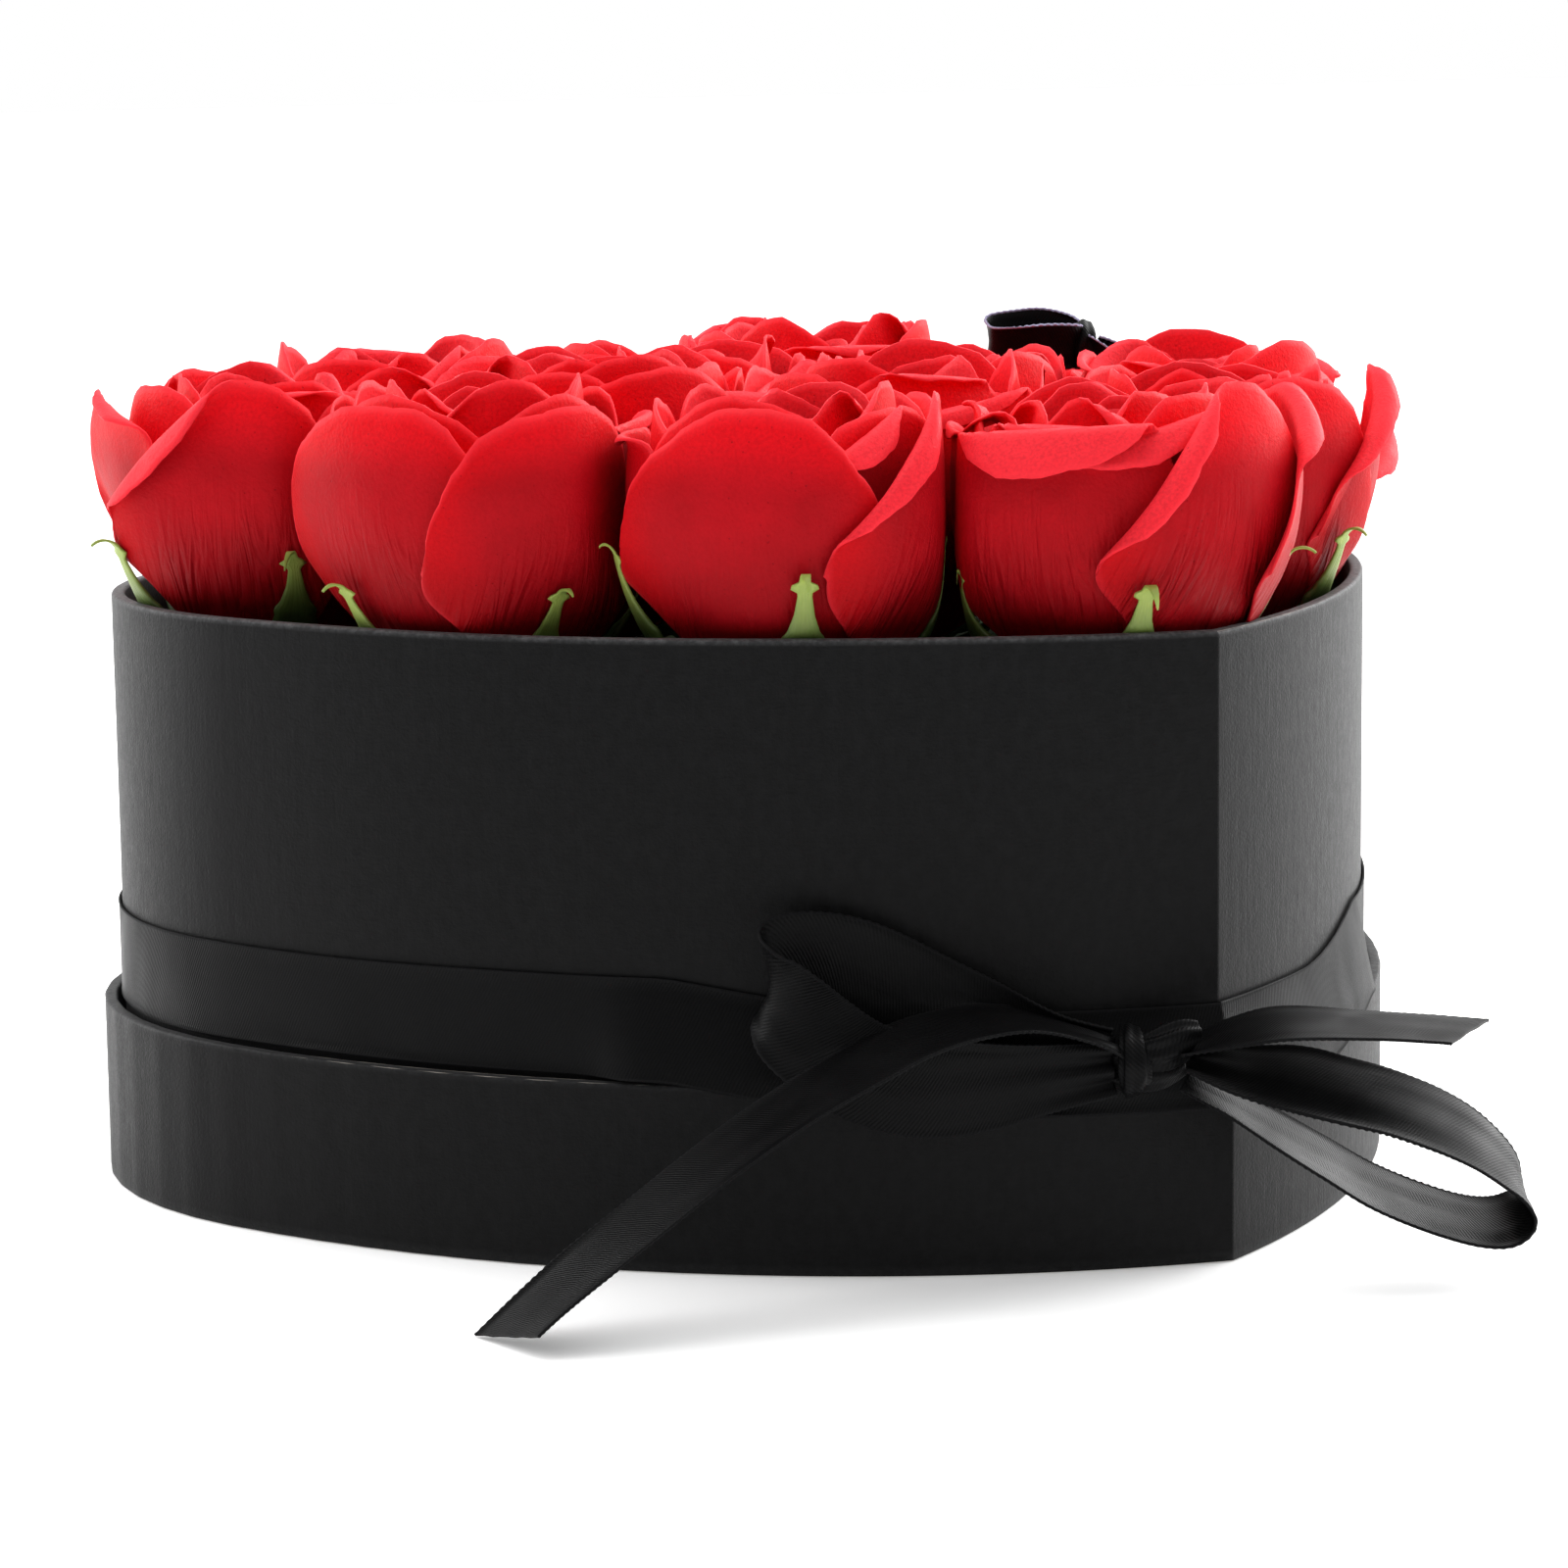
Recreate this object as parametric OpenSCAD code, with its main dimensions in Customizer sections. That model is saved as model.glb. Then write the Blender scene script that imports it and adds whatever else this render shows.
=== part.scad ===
// Heart-shaped flower box: a rigid board box standing in its own upturned lid, tied with a
// satin ribbon, and holding thirteen pegged rose heads in a foam block.
// Frame: +Z up, origin on the underside of the lid at the middle of the heart's outline,
// the heart is symmetric about X = 0 and its point faces -Y.

/* [Heart outline] */
// Distance of each lobe's centre from the heart's axis
lobe_x = 51.75; // [46:0.25:58]
// Radius of the two round lobes
lobe_r = 63.25; // [60:0.25:66]
// Radius of the long side curves that meet in the point
side_r = 180; // [165:1:200]
// Angle below the horizontal at which lobe and side curve meet
tangent_angle = 17.5; // [15:0.5:20]

/* [Box] */
// Height of the box's rim above the table
box_top = 100; // [96:1:110]
// Thickness of the greyboard walls and floors
board = 1.8; // [1.4:0.1:2.2]
// Thickness of the covering and lining papers
paper = 0.2; // [0.15:0.05:0.3]

/* [Lid used as a tray] */
// Height of the lid's side wall
lid_height = 30.2; // [26:0.1:36]
// Gap all round between the box and the lid's wall
lid_gap = 1.3; // [1:0.1:2]
// Gap between the lid's panel and the box's floor
floor_gap = 0.3; // [0.3:0.1:1]
// Depth to which the covering paper is folded down inside the lid
turn_in = 18; // [12:1:22]

/* [Foam and roses] */
// Height of the foam's top face above the table
foam_top = 80; // [76:1:82]
// Gap between the foam and the lined wall
foam_gap = 0.8; // [0.5:0.1:2]
// Radius of the peg under each rose
peg_r = 2; // [1.5:0.1:2.5]
// Length of the peg under each rose
peg_length = 30; // [24:1:34]
// Radial clearance of a peg in its hole
peg_clearance = 0.05; // [0.02:0.01:0.1]
// Greatest radius of a rose head
rose_r = 23; // [20:0.5:23]

/* [Ribbon] */
// Width of the satin ribbon
ribbon_w = 16; // [12:1:20]
// Thickness of the band, which is laid double
band_t = 0.6; // [0.4:0.1:0.8]
// Thickness of the bow's ribbon, doubled at its stitched edges
ribbon_t = 0.8; // [0.5:0.1:1]
// Height of the band's lower edge where it lies level
band_z = 30.6; // [30.5:0.1:34]
// How far the band is pulled down on each side of the point
band_drop = 5.6; // [0:0.2:6]

/* [Hidden] */
$fn = 48;

paper_black = [0.07, 0.07, 0.075];
greyboard = [0.55, 0.52, 0.47];
satin_black = [0.04, 0.04, 0.045];
soap_red = [0.86, 0.04, 0.12];
leaf_green = [0.36, 0.50, 0.16];
foam_green = [0.30, 0.42, 0.28];

// Heart outline. The side curve's centre lies beyond the axis, on the line through the
// tangent point and the lobe's centre.
side_x = (side_r - lobe_r) * cos(tangent_angle) - lobe_x;
side_rise = (side_r - lobe_r) * sin(tangent_angle);
tip_drop = sqrt(side_r * side_r - side_x * side_x) - side_rise;
lobe_y = (tip_drop - lobe_r) / 2;
side_y = lobe_y + side_rise;
side_steps = 20;
lobe_steps = 40;

// Angles at which the offset curves cross the heart's axis
function tip_angle(d) = -acos(side_x / (side_r + d));
function cleft_angle(d) = acos(-lobe_x / (lobe_r + d));

// Right half of the outline, offset outwards by d, from the point to the cleft
function half_heart(d) = concat(
    [for (i = [0 : side_steps - 1])
        let (a = tip_angle(d) + (-tangent_angle - tip_angle(d)) * i / side_steps)
        [-side_x + (side_r + d) * cos(a), side_y + (side_r + d) * sin(a)]],
    [for (i = [0 : lobe_steps])
        let (a = -tangent_angle + (cleft_angle(d) + tangent_angle) * i / lobe_steps)
        [lobe_x + (lobe_r + d) * cos(a), lobe_y + (lobe_r + d) * sin(a)]]
);

// Whole outline, counter-clockwise from the point; the mirrored half skips the two
// points that lie on the axis
function heart(d) = let (half = half_heart(d), n = len(half)) concat(
    half,
    [for (i = [n - 2 : -1 : 1]) [-half[i][0], half[i][1]]]
);

wall_t = board + 2 * paper;
box_base = wall_t + floor_gap;
lid_inner = lid_gap;
lid_outer = lid_gap + wall_t;

// Solid heart between two heights
module heart_slab(d, z0, z1) {
    translate([0, 0, z0])
        linear_extrude(z1 - z0)
            polygon(heart(d));
}

// Heart-shaped wall between an inner and an outer offset
module heart_ring(inner, outer, z0, z1) {
    translate([0, 0, z0])
        linear_extrude(z1 - z0)
            difference() {
                polygon(heart(outer));
                polygon(heart(inner));
            }
}

// ---- Lid ----

module lid_panel() {
    color(greyboard)
        heart_slab(lid_inner + paper, 0, wall_t);
}

module lid_wall() {
    color(greyboard)
        heart_ring(lid_inner + paper, lid_outer - paper, 0, lid_height - paper);
}

// Covering paper: up the outside, over the rim and folded down inside
module lid_wrap() {
    color(paper_black) {
        heart_ring(lid_outer - paper, lid_outer, 0, lid_height - paper);
        heart_ring(lid_inner, lid_outer, lid_height - paper, lid_height);
        heart_ring(lid_inner, lid_inner + paper, lid_height - turn_in, lid_height - paper);
    }
}

// ---- Box ----

module box_floor() {
    color(greyboard)
        heart_slab(-board - paper, box_base, box_base + board);
}

module box_wall() {
    color(greyboard)
        heart_ring(-board - paper, -paper, box_base, box_top - paper);
}

// Covering paper: up the outside and over the rim
module box_wrap() {
    color(paper_black) {
        heart_ring(-paper, 0, box_base, box_top - paper);
        heart_ring(-wall_t, 0, box_top - paper, box_top);
    }
}

module box_lining() {
    color(paper_black)
        heart_ring(-wall_t, -board - paper, box_base + board, box_top - paper);
}

// ---- Rose positions ----

// Places of the roses: one in the point, then pairs along the sides and lobes, and two
// on the axis. The third number is how far the head stands above the foam.
rose_places = [
    [0, -71, 3],
    [43, -43.5, 3],
    [-43, -43.5, 3],
    [75.5, -4.5, 4],
    [-75.5, -4.5, 4],
    [88, 44.5, 0],
    [-88, 44.5, 4],
    [46, 72.5, 6],
    [-46, 72.5, 5],
    [37, 21.5, 5],
    [-37, 21.5, 5],
    [0, 50, 5],
    [0, -15, 5]
];
bow_rose = 5;

module foam_block() {
    peg_hole_r = peg_r + peg_clearance;
    peg_hole_depth = peg_length + 1;
    color(foam_green)
        difference() {
            heart_slab(-wall_t - foam_gap, box_base + board, foam_top);
            for (place = rose_places)
                translate([place[0], place[1], foam_top - peg_hole_depth])
                    cylinder(h = peg_hole_depth + 1, r = peg_hole_r);
        }
}

// ---- Roses ----

// Profiles as fractions of rose_r across and millimetres up from the calyx's base
petal_profile = [
    [0.24, 4.5], [0.44, 7], [0.65, 12], [0.82, 19],
    [0.94, 27], [1, 36], [0.98, 44], [0.91, 50]
];
inner_profile = [
    [0.17, 7], [0.39, 11], [0.57, 18], [0.68, 27],
    [0.73, 36], [0.71, 44], [0.65, 51]
];
bud_profile = [
    [0.16, 9.5], [0.3, 13], [0.42, 20], [0.48, 28],
    [0.5, 36], [0.46, 43], [0.33, 48.5], [0.17, 50.5]
];
petal_t = 1;
petal_count = 5;
petal_span = 70;
sepal_span = 16;
sepal_t = 0.7;
sepal_gap = 0.3;

function scaled(profile) = [for (p = profile) [p[0] * rose_r, p[1]]];
function lowered(profile, t) = [for (p = profile) [max(p[0] - t, 0), p[1]]];
function reversed(list) = [for (i = [len(list) - 1 : -1 : 0]) list[i]];

// One petal: a curved shell covering part of a turn
module petal_shell(profile, span, t) {
    rotate([0, 0, -span / 2])
        rotate_extrude(angle = span)
            polygon(concat(profile, reversed(lowered(profile, t))));
}

module petal_ring(profile, turn) {
    for (i = [0 : petal_count - 1])
        rotate([0, 0, turn + i * 360 / petal_count])
            petal_shell(scaled(profile), petal_span, petal_t);
}

module place_rose(i) {
    translate([rose_places[i][0], rose_places[i][1], foam_top + rose_places[i][2]])
        rotate([0, 0, rose_turn(i)])
            children();
}

// Each head is turned differently, as they are pushed in by hand
function rose_turn(i) = (i * 47) % 72;

module rose_petals(i) {
    color(soap_red)
        place_rose(i) {
            petal_ring(petal_profile, 0);
            petal_ring(inner_profile, 36);
        }
}

module rose_bud(i) {
    profile = scaled(bud_profile);
    color(soap_red)
        difference() {
            place_rose(i)
                rotate_extrude()
                    polygon(concat([[0, profile[0][1]]], profile, [[0, 49.5]]));
            if (i == bow_rose)
                translate([bow_x, bow_y, pick_bottom - 1])
                    cylinder(h = bow_base - pick_bottom, r = pick_r + pick_clearance);
        }
}

// Section of a sepal: it starts inside the hip and lies just outside the petals
function sepal_section() = let (
    outer = concat(
        [[3, 1.8]],
        [for (k = [1 : 4])
            [petal_profile[k][0] * rose_r + sepal_gap + sepal_t, petal_profile[k][1] - 0.5]]
    ),
    inner = concat(
        [[3, 2.8]],
        [for (k = [1 : 4])
            [petal_profile[k][0] * rose_r + sepal_gap, petal_profile[k][1] - 0.1]]
    )
) concat(outer, reversed(inner));

module rose_calyx(i) {
    color(leaf_green)
        place_rose(i) {
            rotate_extrude()
                polygon([
                    [0, -peg_length], [peg_r, -peg_length + 1], [peg_r, 0], [5, 0.4],
                    [6.6, 2.2], [5.2, 3.8], [2.6, 4.2], [2.6, 9], [0, 9]
                ]);
            for (k = [0 : petal_count - 1])
                rotate([0, 0, k * 360 / petal_count - sepal_span / 2])
                    rotate_extrude(angle = sepal_span)
                        polygon(sepal_section());
        }
}

// ---- Ribbons ----

// Smooth curve through a list of vectors: value at span i, fraction t
function curve_at(p, i, t) = let (
    a = p[max(i - 1, 0)],
    b = p[i],
    c = p[min(i + 1, len(p) - 1)],
    d = p[min(i + 2, len(p) - 1)]
) ((2 * b) + (c - a) * t + (2 * a - 5 * b + 4 * c - d) * t * t
    + (3 * b - a - 3 * c + d) * t * t * t) / 2;

function curve(p, steps) = concat(
    [for (i = [0 : len(p) - 2], j = [0 : steps - 1]) curve_at(p, i, j / steps)],
    [p[len(p) - 1]]
);

function unit(v) = v / norm(v);

// Half-width vector squared up to the ribbon's run, keeping its length
function squared(w, run) = norm(w) * unit(w - (w * run) * run);

// Four corners of the ribbon's section at each station
function sections(centres, halves, t) = let (n = len(centres)) [for (i = [0 : n - 1])
    let (
        run = unit(centres[min(i + 1, n - 1)] - centres[max(i - 1, 0)]),
        w = squared(halves[i] * ribbon_w / drawn_w, run),
        up = unit(cross(run, w)) * t / 2
    ) each [
        centres[i] - w - up, centres[i] + w - up,
        centres[i] + w + up, centres[i] - w + up
    ]
];

// Two triangles for a four-sided face
function halved(f) = [[f[0], f[1], f[2]], [f[0], f[2], f[3]]];

function tube_faces(n) = [
    each halved([0, 1, 2, 3]),
    for (i = [0 : n - 2], k = [0 : 3])
        each halved([4 * i + k, 4 * i + 4 + k, 4 * i + 4 + (k + 1) % 4, 4 * i + (k + 1) % 4]),
    each halved([4 * n - 1, 4 * n - 2, 4 * n - 3, 4 * n - 4])
];

// Ribbon swept through a route whose entries are [centre, half-width vector]
module ribbon(route, t) {
    centres = curve([for (r = route) r[0]], 3);
    halves = curve([for (r = route) r[1]], 3);
    color(satin_black)
        polyhedron(sections(centres, halves, t), tube_faces(len(centres)), convexity = 6);
}

// Routes of the bow's four free parts, from the knot outwards; the loops come back to it.
// Their half-width vectors are written for a ribbon of this width.
drawn_w = 16;
tail_left_route = [
    [[-21, -99.5, 37], [1, 3.8, 1]],
    [[-28, -98.5, 40], [1.5, 5.2, 0.8]],
    [[-38, -95.5, 42.6], [1.9, 7.7, 0.6]],
    [[-47, -93, 42.3], [1.9, 7.7, 0.7]],
    [[-54.5, -91.4, 40.8], [1.8, 7.8, 0.8]],
    [[-61.5, -89.6, 37.8], [1.7, 7.8, 0.8]],
    [[-70, -87.4, 33.8], [1.6, 7.8, 0.7]],
    [[-78, -85.4, 29.4], [1.6, 7.8, 0.7]],
    [[-87, -83.1, 23.8], [1.6, 7.8, 0.6]],
    [[-96, -80.7, 17.6], [1.6, 7.8, 0.5]],
    [[-105, -78.4, 11.4], [1.6, 7.8, 0.5]],
    [[-112, -76.6, 6.1], [1.7, 7.8, 0.3]],
    [[-117.5, -75.2, 1.6], [1.7, 7.8, 0.2]]
];
tail_right_route = [
    [[-12, -104.5, 36.2], [2, 3, 0.6]],
    [[-6, -110.2, 39], [3.4, 5.2, 1]],
    [[0, -115.8, 40.6], [4.4, 6.5, 0.9]],
    [[10, -124, 40.3], [4.4, 6.6, 0.6]],
    [[17.5, -129, 39.6], [4.4, 6.6, 0.6]],
    [[22.5, -132.5, 39], [4.4, 6.6, 0.6]]
];
loop_right_route = [
    [[-11, -105.5, 34.6], [2, 3, 1.6]],
    [[-5.5, -111.9, 33.1], [3, 4.8, 2.8]],
    [[0, -117.7, 32.1], [3.9, 5.7, 3.8]],
    [[5, -122.8, 30.5], [3.9, 5.7, 4]],
    [[11, -127.1, 28.5], [3.9, 5.7, 4]],
    [[17.7, -131.7, 25.3], [4, 5.8, 3.8]],
    [[23, -135.4, 21.5], [4.1, 5.9, 3.4]],
    [[27.2, -138.2, 16.6], [4.3, 6.2, 2.8]],
    [[28.2, -139, 12], [4.3, 6.3, 2.4]],
    [[26, -137.4, 9.3], [4.4, 6.3, 2.2]],
    [[21.8, -134.6, 9.2], [4.4, 6.3, 2.1]],
    [[15.7, -130.3, 11.4], [4.4, 6.3, 2.1]],
    [[8.7, -125.4, 15.1], [4.4, 6.3, 2.1]],
    [[3, -120.4, 19.6], [4.4, 6.3, 2]],
    [[-2.4, -115.3, 24], [4, 5.8, 1.8]],
    [[-8, -110.2, 28.5], [3, 4.6, 1.4]],
    [[-12, -105.6, 31.4], [2, 3, 1]]
];
loop_left_route = [
    [[-21, -98.2, 35.4], [0, 0, 4]],
    [[-29, -93, 36.2], [0, 0, 6]],
    [[-36.6, -86.6, 39], [0, 0, 8]],
    [[-42.7, -81.6, 43], [0, 0, 8]],
    [[-48.8, -76.8, 47], [0, 0, 8]],
    [[-54.5, -73.4, 49.6], [0, 0, 8]],
    [[-60, -70.6, 50.4], [0, 0, 8]],
    [[-64.5, -69.8, 49.8], [0, 0, 8]],
    [[-66.6, -71.6, 47.6], [0, 0, 8]],
    [[-66, -75, 44], [0, 0, 8]],
    [[-63, -78.4, 39.7], [0, 0, 8]],
    [[-57.3, -82.8, 34.9], [0, 0, 8]],
    [[-49.4, -87.6, 32.2], [0, 0, 8]],
    [[-41, -92, 31.8], [0, 0, 7]],
    [[-32.7, -96.2, 32.6], [0, 0, 5.5]],
    [[-22.5, -100.8, 33.6], [0, 0, 4]]
];

module bow_tail_left() {
    ribbon(tail_left_route, ribbon_t);
}

module bow_tail_right() {
    ribbon(tail_right_route, ribbon_t);
}

module bow_loop_left() {
    ribbon(loop_left_route, ribbon_t);
}

module bow_loop_right() {
    ribbon(loop_right_route, ribbon_t);
}

// Knot: a barrel lying along the box's side
knot_centre = [-17, -101.4, 34.6];
knot_heading = -24;
knot_length = 11;
knot_r = 4.6;
knot_end_r = 3.6;

module knot_barrel(length, r_mid, r_end) {
    bulge = 0.93;
    rotate([0, 90, 0])
        rotate_extrude()
            polygon([
                [0, -length / 2], [r_end, -length / 2], [r_mid * bulge, -length / 4],
                [r_mid, 0], [r_mid * bulge, length / 4], [r_end, length / 2],
                [0, length / 2]
            ]);
}

module bow_knot() {
    color(satin_black)
        translate(knot_centre)
            rotate([0, 0, knot_heading])
                knot_barrel(knot_length, knot_r, knot_end_r);
}

// Band round the box. It lies level at the back, and its front is pulled down over the
// lid's rim, more on the left of the point than on the right. Where it is pulled it first
// moves out past the rim and then down, and it bends inwards again just above the rim.
band_gap = 0.15;
band_lean = lid_outer + 0.25;
band_bend_z = lid_height + 0.3;
lean_share = 0.12;
drop_share = 0.22;
pull_left = [45, 105];
pull_right = [30, 78];

function ease(x) = let (t = min(max(x, 0), 1)) t * t * (3 - 2 * t);

// Pull of 1 at the point, fading from the near to the far distance along each side
function pull(p) = let (
    s = norm([p[0], p[1] + tip_drop - lobe_y]),
    reach = p[0] < 0 ? pull_left : pull_right
) 1 - ease((s - reach[0]) / (reach[1] - reach[0]));

// Six corners of the band's section at each point of the outline: its inner face's
// lower edge, bend and upper edge, and then its outer face's
function band_sections() = let (
    base = heart(0),
    inner = heart(band_gap),
    outer = heart(band_gap + band_t),
    low_inner = heart(band_lean),
    low_outer = heart(band_lean + band_t)
) [for (i = [0 : len(base) - 1]) let (
        k = pull(base[i]),
        out = ease(k / lean_share),
        z0 = band_z - band_drop * max(0, k - drop_share) / (1 - drop_share),
        z_bend = max(band_bend_z, z0 + 0.5),
        foot_in = inner[i] * (1 - out) + low_inner[i] * out,
        foot_out = outer[i] * (1 - out) + low_outer[i] * out
    ) each [
        [each foot_in, z0],
        [each foot_in, z_bend],
        [each inner[i], z0 + ribbon_w],
        [each outer[i], z0 + ribbon_w],
        [each foot_out, z_bend],
        [each foot_out, z0]
    ]
];

module ribbon_band() {
    points = band_sections();
    ring = 6;
    n = len(points) / ring;
    color(satin_black)
        polyhedron(
            points,
            [for (i = [0 : n - 1], k = [0 : ring - 1]) let (
                here = ring * i,
                next = ring * ((i + 1) % n),
                up = (k + 1) % ring
            ) each halved([here + k, here + up, next + up, next + k])],
            convexity = 6
        );
}

// ---- Small bow pinned on a rose ----

bow_x = 84;
bow_y = 49;
bow_base = 132.8;
bow_w = 9;
bow_heading = -35;
small_knot_length = 3.6;
small_knot_r = 2.4;
small_knot_end_r = 2;
loop_t = 0.6;
loop_r = 3;
loop_reach = 8.5;
loop_neck = [1.95, 1];
pick_r = 0.75;
pick_clearance = 0.05;
pick_bottom = 106;

module place_top_bow() {
    translate([bow_x, bow_y, bow_base])
        rotate([0, 0, bow_heading])
            children();
}

// One loop of the small bow: a rounded ring stood on edge
module small_loop() {
    linear_extrude(bow_w)
        difference() {
            hull() {
                translate([loop_neck[0], 0])
                    circle(r = loop_neck[1]);
                translate([loop_reach, 0])
                    circle(r = loop_r);
            }
            hull() {
                translate([loop_neck[0] + loop_t / 3, 0])
                    circle(r = loop_neck[1] - loop_t);
                translate([loop_reach, 0])
                    circle(r = loop_r - loop_t);
            }
        }
}

module top_bow_loops() {
    color(satin_black)
        place_top_bow() {
            small_loop();
            mirror([1, 0, 0])
                small_loop();
        }
}

module top_bow_knot() {
    color(satin_black)
        place_top_bow()
            translate([0, 0, bow_w / 2])
                knot_barrel(small_knot_length, small_knot_r, small_knot_end_r);
}

module top_bow_pick() {
    color(leaf_green)
        translate([bow_x, bow_y, pick_bottom])
            cylinder(h = bow_base + bow_w / 2 - small_knot_r - 0.05 - pick_bottom, r = pick_r);
}

// ---- Nodes ----

lid_panel();
lid_wall();
lid_wrap();
box_floor();
box_wall();
box_wrap();
box_lining();
foam_block();
ribbon_band();
bow_knot();
bow_loop_left();
bow_loop_right();
bow_tail_left();
bow_tail_right();
top_bow_loops();
top_bow_knot();
top_bow_pick();
rose_calyx(0);  // rose_01_calyx
rose_petals(0);  // rose_01_petals
rose_bud(0);  // rose_01_bud
rose_calyx(1);  // rose_02_calyx
rose_petals(1);  // rose_02_petals
rose_bud(1);  // rose_02_bud
rose_calyx(2);  // rose_03_calyx
rose_petals(2);  // rose_03_petals
rose_bud(2);  // rose_03_bud
rose_calyx(3);  // rose_04_calyx
rose_petals(3);  // rose_04_petals
rose_bud(3);  // rose_04_bud
rose_calyx(4);  // rose_05_calyx
rose_petals(4);  // rose_05_petals
rose_bud(4);  // rose_05_bud
rose_calyx(5);  // rose_06_calyx
rose_petals(5);  // rose_06_petals
rose_bud(5);  // rose_06_bud
rose_calyx(6);  // rose_07_calyx
rose_petals(6);  // rose_07_petals
rose_bud(6);  // rose_07_bud
rose_calyx(7);  // rose_08_calyx
rose_petals(7);  // rose_08_petals
rose_bud(7);  // rose_08_bud
rose_calyx(8);  // rose_09_calyx
rose_petals(8);  // rose_09_petals
rose_bud(8);  // rose_09_bud
rose_calyx(9);  // rose_10_calyx
rose_petals(9);  // rose_10_petals
rose_bud(9);  // rose_10_bud
rose_calyx(10);  // rose_11_calyx
rose_petals(10);  // rose_11_petals
rose_bud(10);  // rose_11_bud
rose_calyx(11);  // rose_12_calyx
rose_petals(11);  // rose_12_petals
rose_bud(11);  // rose_12_bud
rose_calyx(12);  // rose_13_calyx
rose_petals(12);  // rose_13_petals
rose_bud(12);  // rose_13_bud
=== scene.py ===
"""Looks for the heart-shaped flower box: card box, upturned lid, satin bow and rose heads.

Lengths are in metres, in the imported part's frame: +Z up, the heart's point towards -Y.
"""

import math
import bmesh
import bpy
import numpy as np
from mathutils import Matrix, Vector

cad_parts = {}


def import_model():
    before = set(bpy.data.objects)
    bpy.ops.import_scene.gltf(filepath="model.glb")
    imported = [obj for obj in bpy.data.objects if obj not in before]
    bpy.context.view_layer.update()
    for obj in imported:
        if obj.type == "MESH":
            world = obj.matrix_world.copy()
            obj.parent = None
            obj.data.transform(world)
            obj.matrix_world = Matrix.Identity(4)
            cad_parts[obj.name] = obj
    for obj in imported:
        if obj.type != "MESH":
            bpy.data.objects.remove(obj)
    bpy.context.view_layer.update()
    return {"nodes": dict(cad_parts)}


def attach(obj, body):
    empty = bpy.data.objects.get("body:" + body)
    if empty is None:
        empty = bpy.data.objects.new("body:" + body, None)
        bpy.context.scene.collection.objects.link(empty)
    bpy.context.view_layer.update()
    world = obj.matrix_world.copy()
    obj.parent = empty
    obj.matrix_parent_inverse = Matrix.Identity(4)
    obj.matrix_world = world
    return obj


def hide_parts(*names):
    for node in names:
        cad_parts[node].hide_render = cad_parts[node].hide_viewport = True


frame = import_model()

MM = 0.001

# ---- Heart outline, the same curves as the frame's ----

LOBE_X = 51.75 * MM
LOBE_R = 63.25 * MM
SIDE_R = 180 * MM
TANGENT = math.radians(17.5)
FOLD_R = 0.9 * MM
SIDE_X = (SIDE_R - LOBE_R) * math.cos(TANGENT) - LOBE_X
SIDE_RISE = (SIDE_R - LOBE_R) * math.sin(TANGENT)
TIP_DROP = math.sqrt(SIDE_R ** 2 - SIDE_X ** 2) - SIDE_RISE
LOBE_Y = (TIP_DROP - LOBE_R) / 2
SIDE_Y = LOBE_Y + SIDE_RISE
FOLD_STEPS = 4
SIDE_STEPS = 60
LOBE_STEPS = 120

BOX_TOP = 100 * MM
WALL = 2.2 * MM
LID_GAP = 1.3 * MM
LID_OUT = LID_GAP + WALL
LID_TOP = 30.2 * MM
BOX_BASE = 2.5 * MM
FOAM_TOP = 80 * MM

# Rose places as in the frame: across, along and how far the head stands above the foam
ROSES = [
    (0, -71, 3), (43, -43.5, 3), (-43, -43.5, 3), (75.5, -4.5, 4), (-75.5, -4.5, 4),
    (88, 44.5, 0), (-88, 44.5, 4), (46, 72.5, 6), (-46, 72.5, 5), (37, 21.5, 5),
    (-37, 21.5, 5), (0, 50, 5), (0, -15, 5),
]
# Heading from the box towards the photographer, seen from above
FRONT = math.radians(235.2)


def arc(x, y, radius, start, end, steps, last=0):
    """Points on an arc, with its end point left out unless last is 1."""
    a = start + (end - start) * np.arange(steps + last) / steps
    return np.stack([x + radius * np.cos(a), y + radius * np.sin(a)], 1)


def heart(d):
    """The outline offset outwards by d, counter-clockwise from the point, as an array."""
    fold_r = max(FOLD_R + min(d, 0), 0)
    fold_y = SIDE_Y - math.sqrt((SIDE_R + d - fold_r) ** 2 - SIDE_X ** 2)
    start = math.atan2(fold_y - SIDE_Y, SIDE_X)
    end = math.acos(-LOBE_X / (LOBE_R + d))
    right = np.concatenate([
        arc(0, fold_y, fold_r, -math.pi / 2, start, FOLD_STEPS),
        arc(-SIDE_X, SIDE_Y, SIDE_R + d, start, -TANGENT, SIDE_STEPS),
        arc(LOBE_X, LOBE_Y, LOBE_R + d, -TANGENT, end, LOBE_STEPS, last=1),
    ])
    return np.concatenate([right, right[-2:0:-1] * (-1, 1)])


def ease(x):
    """Smooth step from 0 to 1."""
    t = np.clip(x, 0, 1)
    return t * t * (3 - 2 * t)


def unit(vectors):
    """The vectors scaled to length 1."""
    return vectors / np.maximum(np.linalg.norm(vectors, axis=-1, keepdims=True), 1e-12)


def run_length(points):
    """Distance along a line of points, from 0 at its start."""
    gaps = np.linalg.norm(np.diff(points, axis=0), axis=1)
    return np.concatenate([[0], np.cumsum(gaps)])


def spread(along, across):
    """A flat map over a grid: across its columns and along its rows."""
    return np.stack(np.meshgrid(across, along), -1)


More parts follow.
